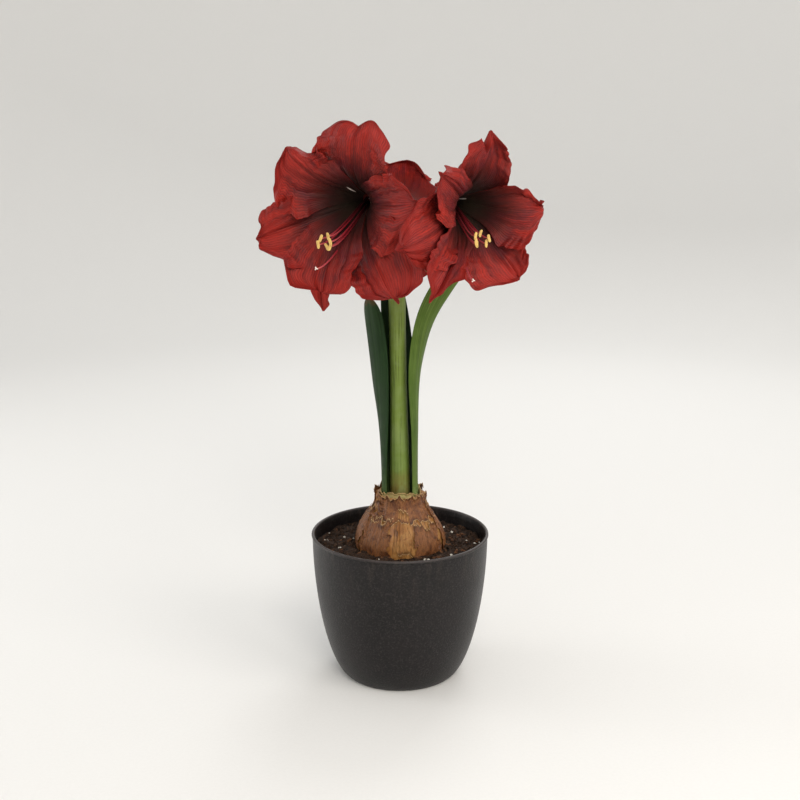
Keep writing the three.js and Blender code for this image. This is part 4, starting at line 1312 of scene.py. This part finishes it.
def soil_bed(s, u):
    """The grid's rows are the profile's own points, one each."""
    row = np.rint(s * (len(soil_profile) - 1)).astype(int)
    radius, height = soil_profile[row].T
    angle = np.pi * u
    points = around(radius * np.where(radius < 50, swelling(angle, height), 1), angle, height)
    top = height >= SOIL_LEVEL
    points[top, 2] = soil_height(points[top, 0], points[top, 1])
    return points


bed = closed(bent_grid(220, len(soil_profile) - 1, soil_bed))
keep(bed, "soil_bed", "potting_soil", "soil", peat_skin, angle=180)

# %% [markdown]
# Each crumb, chip and grain is a low ball of 80 faces, enough at its size, with its points pushed in
# and out by noise.

# %% Crumbs, chips and grains
shuffle = random.Random(7)
NEAREST, FURTHEST = 46.5, 81.5


def lump(size, squash, rough):
    """One small stone-like lump: a low ball whose points are pushed in and out."""
    only()
    bpy.ops.mesh.primitive_ico_sphere_add(subdivisions=2, radius=size * MM)
    piece = bpy.context.object
    for vertex in piece.data.vertices:
        push = 1 + rough * noise.noise(vertex.co * 1.7 / (size * MM) + Vector((size, squash, 0)))
        vertex.co = Vector((vertex.co.x * push, vertex.co.y * push * squash, vertex.co.z * push * squash))
    return piece


def scattered(model, count, smallest, largest, name, material):
    """Copies a model over the bed, between the bulb and the wall, half sunk in the soil."""
    copies = []
    for _ in range(count):
        angle = shuffle.uniform(0, 2 * math.pi)
        reach = math.sqrt(shuffle.uniform(NEAREST**2, FURTHEST**2))
        x, y = reach * math.cos(angle), reach * math.sin(angle)
        z = float(soil_height(np.array([x]), np.array([y]))[0])
        size = shuffle.uniform(smallest, largest)
        tilt = Matrix.Rotation(shuffle.uniform(-0.5, 0.5), 4, "X")
        tilt = tilt @ Matrix.Rotation(shuffle.uniform(-0.5, 0.5), 4, "Y")
        turn = Matrix.Rotation(shuffle.uniform(0, 2 * math.pi), 4, "Z")
        copy = bpy.data.objects.new(name, model.data.copy())
        bpy.context.scene.collection.objects.link(copy)
        place = Matrix.Translation(Vector((x, y, z)) * MM)
        copy.data.transform(place @ turn @ tilt @ Matrix.Scale(size, 4))
        copies.append(copy)
    bpy.data.objects.remove(model)
    keep(joined(copies), name, "potting_soil", "soil", material, angle=60)


scattered(lump(1.0, 0.8, 0.7), 420, 0.9, 2.6, "soil_crumbs", peat_skin)
scattered(lump(1.0, 0.35, 0.5), 90, 2.0, 4.6, "soil_bark", bark_skin)
scattered(lump(1.0, 0.85, 0.5), 46, 0.8, 1.7, "soil_perlite", perlite_skin)

# %% [markdown]
# ## Studio
# The plant stands on matt white paper that sweeps up all round, so that no horizon shows from any
# side. It is a ring of points spun like the pot's.

# %% Floor
FLOOR_RADIUS, SWEEP_RADIUS, WALL_HEIGHT, BACKING = 1800, 1400, 2600, 20
sweep = [
    (FLOOR_RADIUS + SWEEP_RADIUS * math.sin(a), SWEEP_RADIUS - SWEEP_RADIUS * math.cos(a))
    for a in np.radians(np.linspace(0, 90, 19))
]
wall = FLOOR_RADIUS + SWEEP_RADIUS
back = [(wall, WALL_HEIGHT), (wall + BACKING, WALL_HEIGHT), (wall + BACKING, -BACKING), (0, -BACKING)]
floor = turned([(0, 0), *sweep, *back], 128)
bpy.ops.object.shade_smooth_by_angle(angle=math.radians(30))
floor.name = "floor"
paper = new_material("floor_matt_white_paper")
fibre = node(paper, "TexNoise", node(paper, "TexCoord", out="Object"), grain(3), 3.0)
tone = node(paper, "Mix", fibre, colour("e7e6e3"), colour("edece9"), data_type="RGBA")
node(paper, "OutputMaterial", node(paper, "BsdfPrincipled", Base_Color=tone, Roughness=0.9))
floor.data.materials.append(paper)
floor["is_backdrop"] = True
print(f"floor: {2 * FLOOR_RADIUS} mm of flat paper, swept up {SWEEP_RADIUS} mm round it")

# %% [markdown]
# Light comes from a large soft box in front and above, a larger one at the right that fills its
# shadows, one behind that draws the outline, a low one at the left that rounds the dark pot, and a
# pale ceiling all round. Large lamps give the petals soft shadows, as a window would.

# %% Light
world = bpy.data.worlds.new("studio")
bpy.context.scene.world = world
world.use_nodes = True
ceiling = world.node_tree.nodes["Background"].inputs
ceiling["Color"].default_value = colour("f7f8fa")
ceiling["Strength"].default_value = 0.66
bpy.context.scene.view_settings.view_transform = "Standard"


def softbox(name, place, size, power, tint, aim=0.35):
    """A square lamp, in metres and watts, that looks at a height on the plant's axis."""
    data = bpy.data.lights.new(name, "AREA")
    data.size = size
    data.energy = power
    data.color = colour(tint)[:3]
    lamp = bpy.data.objects.new(name, data)
    bpy.context.scene.collection.objects.link(lamp)
    lamp.location = place
    lamp.rotation_euler = (Vector((0, 0, aim)) - Vector(place)).to_track_quat("-Z", "Y").to_euler()
    print(f"lamp {name}: {size} m wide, {power} W")


softbox("key_front", (0.35, -1.85, 1.6), 0.9, 21, "fffaf2")
softbox("fill_right", (1.6, -1.2, 1.1), 1.2, 17, "fff8f2")
softbox("rim_behind", (0.5, 1.6, 1.5), 1.0, 11, "ffffff")
softbox("side_left", (-1.6, 0.3, 0.36), 0.7, 8, "ffffff", aim=0.08)

# %% [markdown]
# The camera stands a little over a metre away, as someone would who bends over the flowers, and looks
# down on them at a slight angle, so that the soil in the pot shows too.

# %% Camera
CAMERA_PLACE, LOOKS_DOWN = (0, -1.25, 0.585), 13.4
lens = bpy.data.cameras.new("camera")
lens.sensor_width = 36
lens.lens = 58.1
camera = bpy.data.objects.new("camera", lens)
bpy.context.scene.collection.objects.link(camera)
camera.location = CAMERA_PLACE
camera.rotation_euler = (math.radians(90 - LOOKS_DOWN), 0, 0)
bpy.context.scene.camera = camera
print(f"camera: {lens.lens:.1f} mm lens, {-CAMERA_PLACE[1]} m in front")

# %% [markdown]
# ## Measure and finish
# Both boxes are printed, the solid model's and the finished plant's, in mm.

# %% Measure and finish
visual_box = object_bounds()
for label, corners in (("solid model", cad_box), ("finished plant", visual_box)):
    print(label, "in mm:", [[round(v * 1000, 1) for v in corner] for corner in corners])
